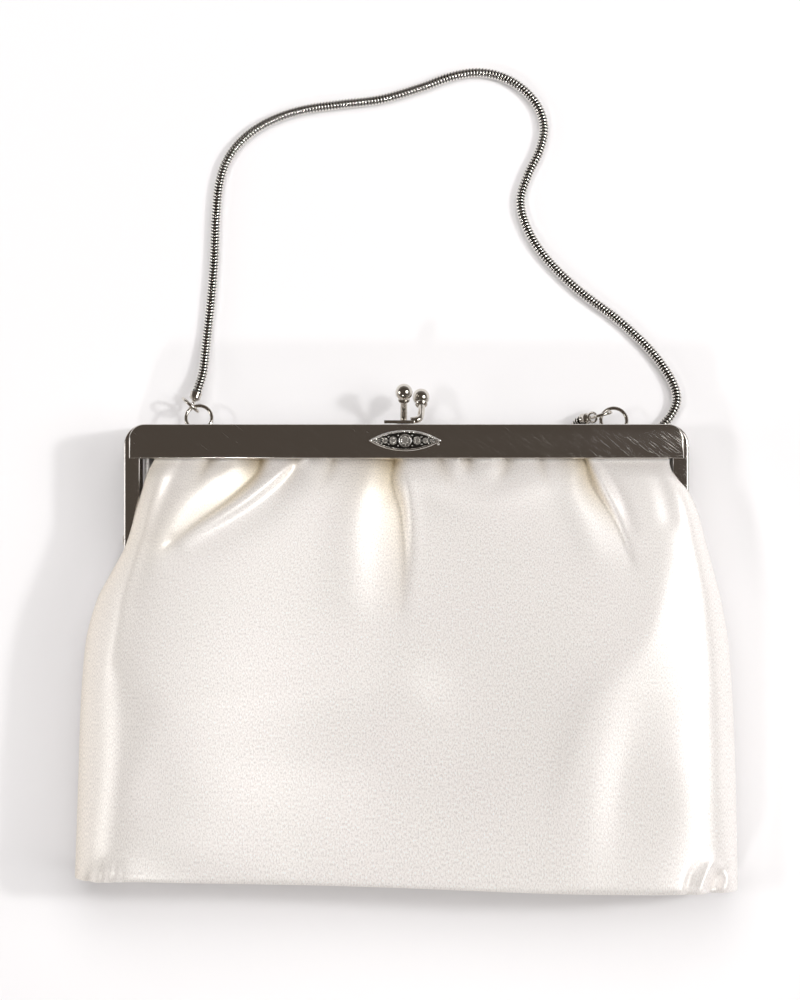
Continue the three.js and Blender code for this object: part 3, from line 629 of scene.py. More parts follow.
def map_cloth(bm, flat, width, length):
    """Write the flat cloth's own measure, in metres, as a map for the weave."""
    layer = bm.loops.layers.uv.new("Cloth")
    for face in bm.faces:
        for loop in face.loops:
            spot = flat[loop.vert]
            loop[layer].uv = (spot.x * width * MM / 2, spot.y * length * MM / 2)


def face_out(bm, way):
    """Turn a sheet of cloth so that its shown side faces a given way."""
    bmesh.ops.recalc_face_normals(bm, faces=bm.faces)
    if sum(face.normal.dot(way) for face in bm.faces) < 0:
        bmesh.ops.reverse_faces(bm, faces=bm.faces)


def thicken(piece):
    """Give a cloth piece its thickness, inwards from the shown side."""
    modifier = piece.modifiers.new("cloth_thickness", "SOLIDIFY")
    modifier.thickness = CLOTH * MM
    modifier.offset = -1
    return piece


def front_drop(v):
    """Drop and hem length at a share of the way down: the last stretch turns over the base's edge."""
    total = BASE_DROP - HEM_ROUND - BODY_TOP + HEM_LENGTH
    run = total * v ** TOP_CROWDING
    drop = min(BODY_TOP + run, BASE_DROP - HEM_ROUND)
    return drop, BODY_TOP + run - drop


def front_place(u, v):
    """A point of the front before its folds."""
    drop, hem = front_drop(v)
    angle = min(hem / HEM_ROUND, math.pi / 2)
    point = front_smooth(u, drop + HEM_ROUND * math.sin(angle))
    point.z -= HEM_ROUND * (1 - math.cos(angle)) + max(hem - HEM_ROUND * math.pi / 2, 0)
    return point


front_bm, front_flat = cloth_grid(FRONT_SQUARES, front_place)
front_verts = list(front_bm.verts)
front_spots = np.array([(vert.co.x, FRAME_TOP - vert.co.y) for vert in front_verts])
# painted shade in the colour: deep creases and the far left edge, which lie in shade, are marked for the
# cream tint
hollow = front_bm.verts.layers.float["hollow"]
creases = fold_lift(front_spots, [fold for fold in FOLDS if fold.sharp < SOFT_FOLD])
for vert, lift, crease in zip(front_verts, fold_lift(front_spots, FOLDS), creases):
    u = abs(front_flat[vert].x)
    vert.co.z += lift * (1 - u ** SIDE_FADE)
    warm = LEFT_EDGE_SHADE * u ** LEFT_EDGE_SHADE_FADE if vert.co.x < 0 else 0
    vert[hollow] = min(max(-crease / DEEP_HOLLOW, 0) + warm, 1)
bmesh.ops.smooth_vert(front_bm, verts=front_verts, factor=CLOTH_EASE, use_axis_z=True)
map_cloth(front_bm, front_flat, FRONT_WIDTH, BASE_DROP - BODY_TOP + HEM_DOWN)
face_out(front_bm, UP)
satin_front = thicken(stand_for("front_panel", front_bm, "satin_front", "satin", SATIN, crisp=math.pi))

# %% [markdown]
# ## The back, the gussets and the base
# The back lies flat on the table and turns up along its sides. The gussets are the narrow side
# walls: between the arms of the frame they fold inwards, and below the hinges they run out to the
# edges of the front and back. The base is a firm board under satin, so it stays flat. All four are
# grids of cloth too, each with its own placing rule.

# %% Back, gussets and base
FLAT_SHARE = 0.86
BACK_INSET = 0.99
BACK_SQUARES = (110, 70)
GUSSET_SQUARES = (18, 90)
BASE_SQUARES = (120, 18)
Gusset = namedtuple("Gusset", "top bottom leaves joins x front back fold")
GUSSET = Gusset(8, 143.4, 40.7, 46, 82.2, 22.3, 10.3, 2.5)
BASE_SETBACK = 0.5
BASE_HALF_WIDTH = 104
SIDES = ((-1, "left"), (1, "right"))


def back_point(u, drop):
    """The back: flat on the table, turned up at its sides and towards the frame."""
    cut = section(drop)
    turn_up = max((abs(u) - FLAT_SHARE) / (1 - FLAT_SHARE), 0) ** 2
    x = lerp(cut.left, cut.right, (u * BACK_INSET + 1) / 2)
    return on_body(x, drop, lerp(cut.back, cut.back_edge, turn_up))


def gusset_point(side, across, drop):
    """A side wall, from the back's edge (across 0) to the front's (across 1)."""
    cut = section(drop)
    in_frame = 1 - smooth(drop, GUSSET.leaves, GUSSET.joins)
    front = lerp(cut.edge - GAP, GUSSET.front, in_frame)
    back = lerp(cut.back_edge + CLOTH + GAP, GUSSET.back, in_frame)
    outline = cut.right if side > 0 else cut.left
    x = lerp(outline, side * GUSSET.x, in_frame)
    fold = side * in_frame * GUSSET.fold * math.sin(math.pi * across)
    return on_body(x - fold, drop, lerp(back, front, across))


def base_point(u, v):
    """The base: the body's last section, set back a little inside the hem of the front."""
    front = front_smooth(u, BASE_DROP)
    back = back_point(u, BASE_DROP)
    top = front.z - HEM_ROUND - HEM_DOWN / 4
    x = front.x * (1 - CLOTH / BASE_HALF_WIDTH)
    return on_body(x, BASE_DROP - BASE_SETBACK, lerp(top, back.z + GAP, v))


def cloth_piece(node, name, squares, place, size, way):
    """A grid of satin in place of a solid, mapped by its flat size in millimetres."""
    bm, flat = cloth_grid(squares, place)
    map_cloth(bm, flat, *size)
    face_out(bm, Vector(way))
    piece = thicken(stand_for(node, bm, name, "satin", SATIN, crisp=math.pi))
    return piece


def back_place(u, v):
    return back_point(u, lerp(BODY_TOP, BASE_DROP, v))


def gusset_place(side):
    """The placing rule of the left or the right gusset."""
    return lambda u, v: gusset_point(side, (u + 1) / 2, lerp(GUSSET.top, GUSSET.bottom, v))


cloth_piece("back_panel", "satin_back", BACK_SQUARES, back_place,
            (206, 138), (0, 0, -1))
for side, word in SIDES:
    cloth_piece(f"gusset_{word}", f"satin_gusset_{word}", GUSSET_SQUARES, gusset_place(side),
                (18, 140), (side, 0, 0))
cloth_piece("base_panel", "satin_base", BASE_SQUARES, base_point,
            (206, 34), (0, -1, 0))

# %% [markdown]
# ## The frame
# Each half of the frame is a strip of steel folded to an L: a face that shows and a flange that
# meets the other half. Such a strip is drawn by running one section along a path, so the section is
# extruded up one arm, spun round the corner, extruded along the top, spun again and extruded down.
# The edges are then bevelled, because a real edge always has a thin line of light on it.

# %% Run a section round the arch
FRAME_HALF_WIDTH = 88.7
FRAME_CORNER = 6.5
ARM_LENGTH = 40
ARM_WIDTH = 5
FRAME_MIDDLE = 16.5
HALF_DEPTH = 8.8
PARTING = 0.15
FLANGE_SHEET = 0.8
FACE_SHEET = 1.0
CORNER_STEPS = 14
EDGE_BEVEL = 0.2
FOLD_ROUND = 0.7
SQUARE_EDGE = math.radians(60)


def drop_inner(bm, face):
    """Take out a face that has become an inside wall; a first, single face stays as the end."""
    if face.is_valid and any(len(edge.link_faces) > 2 for edge in face.edges):
        bmesh.ops.delete(bm, geom=[face], context="FACES_ONLY")


def push(bm, face, way):
    """Extrude a face along a way, and give back the face at the far end."""
    made = bmesh.ops.extrude_face_region(bm, geom=[face])["geom"]
    moved = [item for item in made if isinstance(item, bmesh.types.BMVert)]
    bmesh.ops.translate(bm, verts=moved, vec=way)
    drop_inner(bm, face)
    return next(item for item in made if isinstance(item, bmesh.types.BMFace))


def swing(bm, face, centre, angle):
    """Spin a face round an upright axis, and give back the face at the far end."""
    geom = [face, *face.edges, *face.verts]
    spun = bmesh.ops.spin(bm, geom=geom, cent=centre, axis=UP, angle=angle, steps=CORNER_STEPS)
    drop_inner(bm, face)
    return next(item for item in spun["geom_last"] if isinstance(item, bmesh.types.BMFace))


def soften(bm, edges, offset=EDGE_BEVEL, segments=3):
    """Round edges by a small bevel."""
    bmesh.ops.bevel(bm, geom=edges, offset=offset, segments=segments, affect="EDGES", profile=0.5,
                    material=-1, clamp_overlap=True)


def square_edges(bm):
    """The edges where two faces meet at a steep angle."""
    return [edge for edge in bm.edges if edge.is_manifold and edge.calc_face_angle(0) > SQUARE_EDGE]


def fold_edges(bm, facing):
    """The outer edges along which the sheet is folded from face to flange."""
    face = FRAME_MIDDLE + facing * HALF_DEPTH

    def outer(vert):
        inner = abs(vert.co.x) < FRAME_HALF_WIDTH - FOLD_ROUND and vert.co.y < FRAME_TOP - FRAME_CORNER
        spoke = math.hypot(max(abs(vert.co.x) - FRAME_HALF_WIDTH + FRAME_CORNER, 0),
                           max(vert.co.y - FRAME_TOP + FRAME_CORNER, 0))
        return abs(vert.co.z - face) < PARTING and not inner and spoke > FRAME_CORNER - FLANGE_SHEET / 2

    return [edge for edge in bm.edges
            if edge.calc_face_angle(0) > SQUARE_EDGE and all(map(outer, edge.verts))]


def frame_arch(facing):
    """One half of the frame, before its hinge ears; facing is 1 for the front and -1 for the back."""
    face, meet = FRAME_MIDDLE + facing * HALF_DEPTH, FRAME_MIDDLE + facing * PARTING
    inside = face - facing * FACE_SHEET
    profile = [
        (0, face), (ARM_WIDTH, face), (ARM_WIDTH, inside),
        (FLANGE_SHEET, inside), (FLANGE_SHEET, meet), (0, meet),
    ]
    bm = bmesh.new()
    foot = FRAME_TOP - ARM_LENGTH
    end = bm.faces.new([bm.verts.new((inward - FRAME_HALF_WIDTH, foot, z)) for inward, z in profile])
    bend_x, bend_y = FRAME_HALF_WIDTH - FRAME_CORNER, FRAME_TOP - FRAME_CORNER
    end = push(bm, end, (0, ARM_LENGTH - FRAME_CORNER, 0))
    end = swing(bm, end, (-bend_x, bend_y, 0), -math.pi / 2)
    end = push(bm, end, (2 * bend_x, 0, 0))
    end = swing(bm, end, (bend_x, bend_y, 0), -math.pi / 2)
    push(bm, end, (0, FRAME_CORNER - ARM_LENGTH, 0))
    bmesh.ops.recalc_face_normals(bm, faces=bm.faces)
    return bm


print("frame, mm wide:", 2 * FRAME_HALF_WIDTH)

# %% [markdown]
# The back half has slots in its top flange for the rings of the handle. A slot is cut the way a
# maker scribes it: planes mark its four sides on the flange, the marked squares are taken out on
# both faces of the sheet, and their rims are bridged to make the walls. At the end of each arm an
# ear carries the hinge rivet.

# %% Slots, ears and both halves
RING_X = 65.8
FLANGE_Z = 12.1
Slot = namedtuple("Slot", "near far width")
SLOT = Slot(0.8, 5.2, 1.9)
HINGE_Y = FRAME_TOP - 36.5
EAR_RADIUS = 3.5
EAR_SIDES = 28


def cut_slots(bm):
    """Open the slots of the rings through the top flange."""
    spans = [sorted((ring + side * SLOT.near, ring + side * SLOT.far))
             for ring in (-RING_X, RING_X) for side, _ in SIDES]
    low, high = FLANGE_Z - SLOT.width / 2, FLANGE_Z + SLOT.width / 2
    marks = [((x, 0, 0), (1, 0, 0)) for span in spans for x in span]
    marks += [((0, 0, z), (0, 0, 1)) for z in (low, high)]
    for point, normal in marks:
        geom = [*bm.verts, *bm.edges, *bm.faces]
        bmesh.ops.bisect_plane(bm, geom=geom, plane_co=point, plane_no=normal)
    for left, right in spans:
        windows = []
        for face in bm.faces:
            middle = face.calc_center_median()
            marked = left < middle.x < right and low < middle.z < high
            if marked and middle.y > FRAME_TOP - 2 * FLANGE_SHEET:
                windows.append(face)
        rims = [edge for face in windows for edge in face.edges]
        bmesh.ops.delete(bm, geom=windows, context="FACES_ONLY")
        bmesh.ops.bridge_loops(bm, edges=rims)
    bmesh.ops.recalc_face_normals(bm, faces=bm.faces)


def add_ear(bm, side, inset):
    """A round ear at the end of an arm, at a given inset from the outside of the frame."""
    middle = side * (FRAME_HALF_WIDTH - inset - FLANGE_SHEET / 2)
    turn = Matrix.Translation((middle, HINGE_Y, FRAME_MIDDLE)) @ Matrix.Rotation(math.pi / 2, 4, "Y")
    bmesh.ops.create_cone(bm, segments=EAR_SIDES, radius1=EAR_RADIUS, radius2=EAR_RADIUS,
                          depth=FLANGE_SHEET, cap_ends=True, matrix=turn)


def plated(node, bm, name, plating):
    """A plated piece in place of a solid."""
    return stand_for(node, bm, name, "plated_steel", plating)


front_half = frame_arch(1)
back_half = frame_arch(-1)
cut_slots(back_half)
for half, inset, facing in ((front_half, 0, 1), (back_half, FLANGE_SHEET + GAP, -1)):
    soften(half, fold_edges(half, facing), offset=FOLD_ROUND, segments=5)
    soften(half, square_edges(half))
    for side, _ in SIDES:
        add_ear(half, side, inset)
plated("frame_front", front_half, "nickel_frame_front", NICKEL)
plated("frame_back", back_half, "nickel_frame_back", NICKEL)

# %% [markdown]
# ## The bar plates and the rivets
# A wide plate with round upper corners stands proud on each half. It starts as one square, whose
# two upper corners are bevelled as points to make the rounds. The outline is then pushed up to its
# thickness and its rim rounded. The hinge rivets are turned on a lathe, so they are a profile spun
# round an axis.

# %% Bar plates
Plate = namedtuple("Plate", "half_width height corner sheet rim")
PLATE = Plate(87, 10.8, 4.8, 1.0, 0.55)


def bar_plate(facing):
    """The plate on one half of the frame."""
    bm = bmesh.new()
    bmesh.ops.create_grid(bm, x_segments=1, y_segments=1, size=0.5)
    bmesh.ops.scale(bm, vec=(2 * PLATE.half_width, PLATE.height, 1), verts=bm.verts)
    bmesh.ops.translate(bm, vec=(0, FRAME_TOP - PLATE.height / 2, 0), verts=bm.verts)
    upper = [vert for vert in bm.verts if vert.co.y > FRAME_TOP - PLATE.height / 2]
    bmesh.ops.bevel(bm, geom=upper, offset=PLATE.corner, segments=CORNER_STEPS, affect="VERTICES",
                    profile=0.5, material=-1, clamp_overlap=True)
    near = FRAME_MIDDLE + facing * (HALF_DEPTH + GAP)
    bmesh.ops.translate(bm, vec=(0, 0, near), verts=bm.verts)
    top = push(bm, bm.faces[:][0], (0, 0, facing * PLATE.sheet))
    soften(bm, list(top.edges), offset=PLATE.rim, segments=4)
    bmesh.ops.recalc_face_normals(bm, faces=bm.faces)
    return bm


plated("bar_plate_front", bar_plate(1), "nickel_bar_front", NICKEL)
plated("bar_plate_back", bar_plate(-1), "nickel_bar_back", NICKEL)

# %% Turned pieces: the hinge rivets
LATHE_STEPS = 28
MERGE = 1e-4
Rivet = namedtuple("Rivet", "shank head head_height crown edge_share crown_share")
RIVET = Rivet(1.0, 1.9, 0.7, 1.3, 0.35, 0.85)


def turned(bm, profile, start, way):
    """Spin a profile of (radius, height) pairs round an axis that starts at a point."""
    spots = [bm.verts.new((radius, 0, height)) for radius, height in profile]
    lines = [bm.edges.new(pair) for pair in zip(spots, spots[1:])]
    before = set(bm.verts)
    bmesh.ops.spin(bm, geom=spots + lines, cent=(0, 0, 0), axis=UP, angle=2 * math.pi,
                   steps=LATHE_STEPS, use_merge=True)
    made = spots + [vert for vert in bm.verts if vert not in before]
    bmesh.ops.remove_doubles(bm, verts=made, dist=MERGE)
    made = [vert for vert in made if vert.is_valid]
    place = Matrix.Translation(start) @ UP.rotation_difference(Vector(way)).to_matrix().to_4x4()
    bmesh.ops.transform(bm, matrix=place, verts=made)
    faces = list({face for vert in made for face in vert.link_faces})
    bmesh.ops.recalc_face_normals(bm, faces=faces)


def hinge_rivet(side):
    """A rivet with a flat inner head and a domed outer one."""
    inner = FRAME_HALF_WIDTH - 2 * FLANGE_SHEET - 2 * GAP - RIVET.head_height
    length = FRAME_HALF_WIDTH + GAP + RIVET.head_height - inner
    neck = length - RIVET.head_height
    profile = [
        (0, 0), (RIVET.head, 0), (RIVET.head, RIVET.head_height), (RIVET.shank, RIVET.head_height),
        (RIVET.shank, neck), (RIVET.head, neck),
        (RIVET.head, neck + RIVET.head_height * RIVET.edge_share),
        (RIVET.crown, neck + RIVET.head_height * RIVET.crown_share), (0, length),
    ]
    bm = bmesh.new()
    turned(bm, profile, (side * inner, HINGE_Y, FRAME_MIDDLE), (side, 0, 0))
    return bm


for side, word in SIDES:
    plated(f"hinge_rivet_{word}", hinge_rivet(side), f"nickel_rivet_{word}", BRIGHT_NICKEL)

# %% [markdown]
# ## The kiss lock
# Two balls on bent stems snap past each other to hold the bag shut. Each stem is a round wire
# soldered to a foot on the frame. A wire is made by carrying a circle along a curve: one ring of
# points is extruded from step to step and turned to face along the curve. The ball, its collar and
# its neck are one turned profile.

# %% Wires along a curve
WIRE_SIDES = 18
CURVE_STEPS = 8


def facing_along(point, way):
    """The place and turn of a ring of points that faces along a way."""
    return Matrix.Translation(point) @ UP.rotation_difference(way).to_matrix().to_4x4()


def wire(bm, line, radius):
    """Carry a circle along a line of points, with closed ends."""
    rings = []
    for before, point, after in zip(line[:1] + line, line, line[1:] + line[-1:]):
        place = facing_along(point, (after - before).normalized())
        ring = bmesh.ops.create_circle(bm, segments=WIRE_SIDES, radius=radius, matrix=place)["verts"]
        rings.append(list({edge for vert in ring for edge in vert.link_edges}))
    caps = [list({vert for edge in ring for vert in edge.verts}) for ring in (rings[0], rings[-1])]
    for first, second in zip(rings, rings[1:]):
        bmesh.ops.bridge_loops(bm, edges=first + second)
    for cap in caps:
        bmesh.ops.contextual_create(bm, geom=cap)
    bmesh.ops.recalc_face_normals(bm, faces=bm.faces)


# %% Balls, stems and feet
Knob = namedtuple("Knob", "name left right foot_z foot_depth stem")
KNOBS = [
    Knob("front", -7, 2.6, 21, 4,
         [(1.6, 1.2, 21), (4.1, 1.9, 20.4), (4.8, 4.8, 17.6), (4.65, 8.8, 14)]),
    Knob("back", -3.2, 1.8, 12, 4.4,
         [(-0.8, 1.1, 12.2), (-0.8, 3.2, 13), (-0.78, 6.6, 15.8), (-0.75, 10.2, 19.3)]),
]
BALL_RADIUS = 2.7
BALL_STEPS = 14
STEM_RADIUS = 1.1
COLLAR_RADIUS = 1.9
BALL_SEAT = -2.35
NECK = [
    (0, -4.1), (1.1, -4.1), (1.4, -3.9), (COLLAR_RADIUS, -3.3), (COLLAR_RADIUS, -3.0),
    (1.5, -2.7), (1.15, -2.4),
]
FOOT_HEIGHT = 1.0
FOOT_BEVEL = 0.18


def above_frame(x, rise, z):
    """A place given by its rise over the top edge of the frame."""
    return Vector((x, FRAME_TOP + rise, z))


def ball_profile():
    """The neck, the collar and the ball, from below; the ball's middle is at height 0."""
    first = math.acos(BALL_SEAT / BALL_RADIUS)
    angles = [lerp(first, 0, k / BALL_STEPS) for k in range(BALL_STEPS + 1)]
    return NECK + [(BALL_RADIUS * math.sin(a), BALL_RADIUS * math.cos(a)) for a in angles]


def clasp_knob(knob):
    """A ball on its bent stem, with the foot that is fixed to the frame."""
    bm = bmesh.new()
    line = through([above_frame(*spot) for spot in knob.stem], CURVE_STEPS)
    wire(bm, line, STEM_RADIUS)
    turned(bm, ball_profile(), line[-1], line[-1] - line[-2])
    foot = bmesh.ops.create_cube(bm, size=1)["verts"]
    bmesh.ops.scale(bm, vec=(knob.right - knob.left, FOOT_HEIGHT, knob.foot_depth), verts=foot)
    middle = above_frame((knob.left + knob.right) / 2, GAP + FOOT_HEIGHT / 2, knob.foot_z)
    bmesh.ops.translate(bm, vec=middle, verts=foot)
    soften(bm, list({edge for vert in foot for edge in vert.link_edges}), offset=FOOT_BEVEL, segments=2)
    return bm


for knob in KNOBS:
    plated(f"clasp_knob_{knob.name}", clasp_knob(knob), f"nickel_knob_{knob.name}", BRIGHT_NICKEL)

# %% [markdown]
# ## The ornament
# A pointed oval tray sits on the front plate and is filled with cut stones, the largest in a collar
# of its own. The tray's outline is the overlap of two circles, so each side is one point spun along
# its circle. The upper rim is edged with tiny beads, as a jeweller's wheel leaves them, the lower
# rim is plain, and small grains of metal hold the stones. The collar is a hoop of wire: a circle
# spun round an axis outside it.

# %% The tray
Tray = namedtuple("Tray", "x y half_length half_height floor rim height round")
TRAY = Tray(-0.4, FRAME_TOP - 5.2, 11.4, 3.3, 0.8, 0.75, 1.7, 0.33)
TRAY_Z = FRAME_MIDDLE + HALF_DEPTH + GAP + PLATE.sheet + GAP
ARC_RADIUS = (TRAY.half_length ** 2 + TRAY.half_height ** 2) / (2 * TRAY.half_height)
ARC_DROP = ARC_RADIUS - TRAY.half_height
ARC_HALF = math.asin(TRAY.half_length / ARC_RADIUS)
ARC_STEPS = 36
TIP_MERGE = 0.01


def tray():
    """A shallow pointed oval tray with a raised round rim."""
    bm = bmesh.new()
    for side, _ in SIDES:
        tip = bm.verts.new((side * TRAY.half_length, 0, 0))
        bmesh.ops.spin(bm, geom=[tip], cent=(0, -side * ARC_DROP, 0), axis=UP,
                       angle=2 * ARC_HALF, steps=ARC_STEPS)
    bmesh.ops.remove_doubles(bm, verts=bm.verts, dist=TIP_MERGE)
    outline = bmesh.ops.contextual_create(bm, geom=bm.edges[:])["faces"][0]
    floor = push(bm, outline, (0, 0, TRAY.height))
    bmesh.ops.recalc_face_normals(bm, faces=bm.faces)
    bmesh.ops.inset_region(bm, faces=[floor], thickness=TRAY.rim, use_even_offset=True)
    push(bm, floor, (0, 0, TRAY.floor - TRAY.height)).material_index = 2
    rim = [edge for edge in bm.edges if min(vert.co.z for vert in edge.verts) > TRAY.height - GAP]
    steep = [edge for edge in rim if edge.calc_face_angle(0) > SQUARE_EDGE]
    soften(bm, steep, offset=TRAY.round)
    bmesh.ops.recalc_face_normals(bm, faces=bm.faces)
    return bm


# %% Stones, collar, grains and beads
Stone = namedtuple("Stone", "out radius")
STONES = [Stone(0, 1.6), Stone(3.75, 1.4), Stone(6.35, 1.0), Stone(8.25, 0.7), Stone(9.6, 0.42)]
STONE_FACETS = 8
TABLE_SHARE = 0.5
CROWN_SHARE = 0.5
GIRDLE = 0.5
SUNK = 0.2
BEAD_RADIUS = 0.26
BEAD_SPACING = 0.62
GRAIN_RADIUS = 0.3
TIP_GRAIN_RADIUS = 1.4 * GRAIN_RADIUS
Grain = namedtuple("Grain", "x y")
GRAINS = [Grain(2.2, 1.6), Grain(5.15, 1.15), Grain(7.35, 0.8), Grain(9.0, 0.5)]
TIP_GRAINS = [Grain(-10.7, 0), Grain(10.7, 0), Grain(10.4, -1.1)]
Hoop = namedtuple("Hoop", "radius wire")
COLLAR = Hoop(1.85, 0.25)
HOOP_STEPS = 44
HOOP_SIDES = 14
STONE_CRISP = math.radians(25)


def hoop(bm, size, centre, axis):
    """A ring of round wire across its axis."""
    section_turn = Matrix.Translation((size.radius, 0, 0)) @ Matrix.Rotation(math.pi / 2, 4, "X")
    spots = bmesh.ops.create_circle(bm, segments=HOOP_SIDES, radius=size.wire,
                                    matrix=section_turn)["verts"]
    lines = list({edge for vert in spots for edge in vert.link_edges})
    before = set(bm.verts)
    bmesh.ops.spin(bm, geom=spots + lines, cent=(0, 0, 0), axis=UP, angle=2 * math.pi, steps=HOOP_STEPS,
                   use_merge=True)
    grown = [vert for vert in bm.verts if vert not in before]
    made = [vert for vert in [*spots, *grown] if vert.is_valid]
    bmesh.ops.transform(bm, matrix=facing_along(centre, Vector(axis).normalized()), verts=made)
    bmesh.ops.recalc_face_normals(bm, faces=list({face for vert in made for face in vert.link_faces}))


def add_stone(bm, x, radius):
    """A cut stone: a girdle, a ring of slanted facets and a flat table."""
    seat = TRAY.floor - SUNK
    crown = radius * CROWN_SHARE
    for low, depth, top in ((seat, GIRDLE, radius), (seat + GIRDLE, crown, radius * TABLE_SHARE)):
        place = Matrix.Translation((x, 0, low + depth / 2))
        made = bmesh.ops.create_cone(bm, segments=STONE_FACETS, radius1=radius, radius2=top,
                                     depth=depth, cap_ends=True, matrix=place)["verts"]
        for face in {face for vert in made for face in vert.link_faces}:
            face.material_index = 1


def add_bead(bm, x, y, z, radius):
    """A tiny round grain of metal."""
    bmesh.ops.create_icosphere(bm, subdivisions=2, radius=radius, matrix=Matrix.Translation((x, y, z)))


ornament_bm = tray()
for stone in STONES:
    for x in {-stone.out, stone.out}:
        add_stone(ornament_bm, x, stone.radius)
bead_count = round(2 * ARC_HALF * ARC_RADIUS / BEAD_SPACING)
bead_reach = ARC_RADIUS - TRAY.rim / 2
for k in range(1, bead_count):
    angle = lerp(-ARC_HALF, ARC_HALF, k / bead_count)
    x, y = bead_reach * math.sin(angle), bead_reach * math.cos(angle) - ARC_DROP
    add_bead(ornament_bm, x, y, TRAY.height, BEAD_RADIUS)
for grain in GRAINS:
    for x in (-grain.x, grain.x):
        for y in (-grain.y, grain.y):
            add_bead(ornament_bm, x, y, TRAY.floor + GIRDLE, GRAIN_RADIUS)
for grain in TIP_GRAINS:
    add_bead(ornament_bm, grain.x, grain.y, TRAY.height, TIP_GRAIN_RADIUS)
hoop(ornament_bm, COLLAR, (0, 0, TRAY.floor + GIRDLE), UP)
bmesh.ops.translate(ornament_bm, vec=(TRAY.x, TRAY.y, TRAY_Z), verts=ornament_bm.verts)
stand_for("ornament", ornament_bm, "stone_set_ornament", "stone_setting", RHODIUM, PASTE, OXIDE,
          crisp=STONE_CRISP)
print("beads on the upper rim:", bead_count - 1)

# %% [markdown]
# ## Rings, links and end caps
# A ring stands in the slots at each end of the frame, and a smaller link joins it to the end cap of
# the chain. Rings and links are hoops of wire, like the collar of the stone. Each cap is a turned
# bell with one more hoop as the eye at its tip.

# %% The ends of the handle
HandleEnd = namedtuple("HandleEnd", "name ring link link_way eye cap_way eye_axis")
HANDLE_ENDS = [
    HandleEnd("left", (-65.8, 2.2), (-68.6, 6.4, 9), (0.75, -0.66, 0),
              (-68.1, 6.3, 5.85), (0.28, 0.93, -0.22), (0.96, -0.29, 0)),
    HandleEnd("right", (65.8, 1.4), (62, 3.2, 9.7), (-0.97, -0.25, 0),
              (59.25, 2.5, 7.7), (-0.65, -0.15, -0.745), (-0.557, -0.144, 0.82)),
]
RING = Hoop(4.1, 0.6)
LINK = Hoop(3.15, 0.52)
EYE = Hoop(1.5, 0.4)
RING_TILT = math.radians(15)
Cap = namedtuple("Cap", "radius length neck shoulder")
CAP = Cap(1.9, 3.0, 0.7, 1.2)


def cap_start(end, distance):
    """A place along a cap, at a distance from the middle of its eye."""
    return above_frame(*end.eye) + Vector(end.cap_way).normalized() * distance


def frame_ring(end):
    """A ring that stands tilted in its slots."""
    x, rise = end.ring
    sink = (rise + FLANGE_SHEET / 2) * math.tan(RING_TILT)
    bm = bmesh.new()
    hoop(bm, RING, above_frame(x, rise, FLANGE_Z - sink), (0, math.sin(RING_TILT), math.cos(RING_TILT)))
    return bm


def chain_link(end):
    """The link between a ring and a cap."""
    bm = bmesh.new()
    hoop(bm, LINK, above_frame(*end.link), Vector(end.link_way).cross(UP))
    return bm


def chain_cap(end):
    """A bell with a rolled lip, and the eye at its tip."""
    bm = bmesh.new()
    lip = CAP.length + EYE.wire / 2
    bell = CAP.radius * 0.95
    profile = [
        (0, 0), (CAP.neck, 0), (CAP.neck, 0.3), (CAP.radius * 0.75, 0.75), (bell, CAP.shoulder),
        (bell, lip - 0.7), (CAP.radius, lip - 0.5), (CAP.radius, lip - 0.15), (0, lip),
    ]
    turned(bm, profile, cap_start(end, EYE.radius - EYE.wire / 2), end.cap_way)
    hoop(bm, EYE, cap_start(end, 0), end.eye_axis)
    return bm


for end in HANDLE_ENDS:
    plated(f"frame_ring_{end.name}", frame_ring(end), f"nickel_ring_{end.name}", BRIGHT_NICKEL)
    plated(f"chain_link_{end.name}", chain_link(end), f"nickel_link_{end.name}", BRIGHT_NICKEL)
    plated(f"chain_cap_{end.name}", chain_cap(end), f"nickel_cap_{end.name}", BRIGHT_NICKEL)

# %% [markdown]
# ## The snake chain
# A snake chain is a stack of thin wavy rings that hook into each other, so it looks like a round
# tube with zig-zag ribs. It is drawn as one grid wrapped into a tube: every few rows make a rib, the
# rows between ribs sink into a groove, and all rows zig-zag round the tube. The ribs are 1 mm apart,
# about as on the real chain. The route is the list of places that the handle passes on the table.
# The grooves lie in shade and mirror the dark room, so their depth is kept with the mesh and paints
# the plating nearly black there as painted shade. At the sides the grooves see the white table, so
# the painted shade counts for less there.

# %% The route of the chain
CHAIN_RADIUS = 1.6
CHAIN_ROUTE = [
    (-64.9, 17.2, 3.3), (-63.8, 27.3, 1.9), (-62.4, 40.1, 1.7), (-61.4, 52.9, 1.7), (-60.8, 67.3, 1.7),
    (-59.5, 78.5, 1.7), (-56.3, 86.5, 1.7), (-50.6, 92.9, 1.7), (-42.9, 97.6, 1.7), (-33.3, 100.8, 1.7),
    (-21.2, 102.6, 1.7), (-8.4, 104.2, 1.7), (4.4, 107.9, 1.7), (14, 111.4, 1.7), (22.6, 112.8, 1.7),
    (30.6, 111.4, 1.7), (37.6, 107.2, 1.7), (42.4, 101.2, 1.7), (44, 94.5, 1.7), (42.4, 87.4, 1.7),
    (38.9, 80.1, 1.7), (36.5, 71.8, 1.7), (38.6, 63.1, 1.7), (44.3, 53.9, 1.7), (54.6, 43.6, 1.7),
    (67.7, 33.7, 1.7), (77.9, 24.1, 1.8), (84.3, 15.2, 2.1), (86.4, 8.6, 2.4), (84.6, 3.4, 2.3),
    (80.4, -1.4, 2), (75, -6, 1.8), (69, -9.2, 1.7), (63.5, -10.3, 1.7), (58.5, -9.2, 1.7),
    (55.3, -6, 1.75), (54, -2.7, 1.85), (54, -0.3, 2.2), (54.9, 1.2, 2.95),
]
CAP_END = EYE.radius + CAP.length + GAP
ROUTE_STEPS = 12

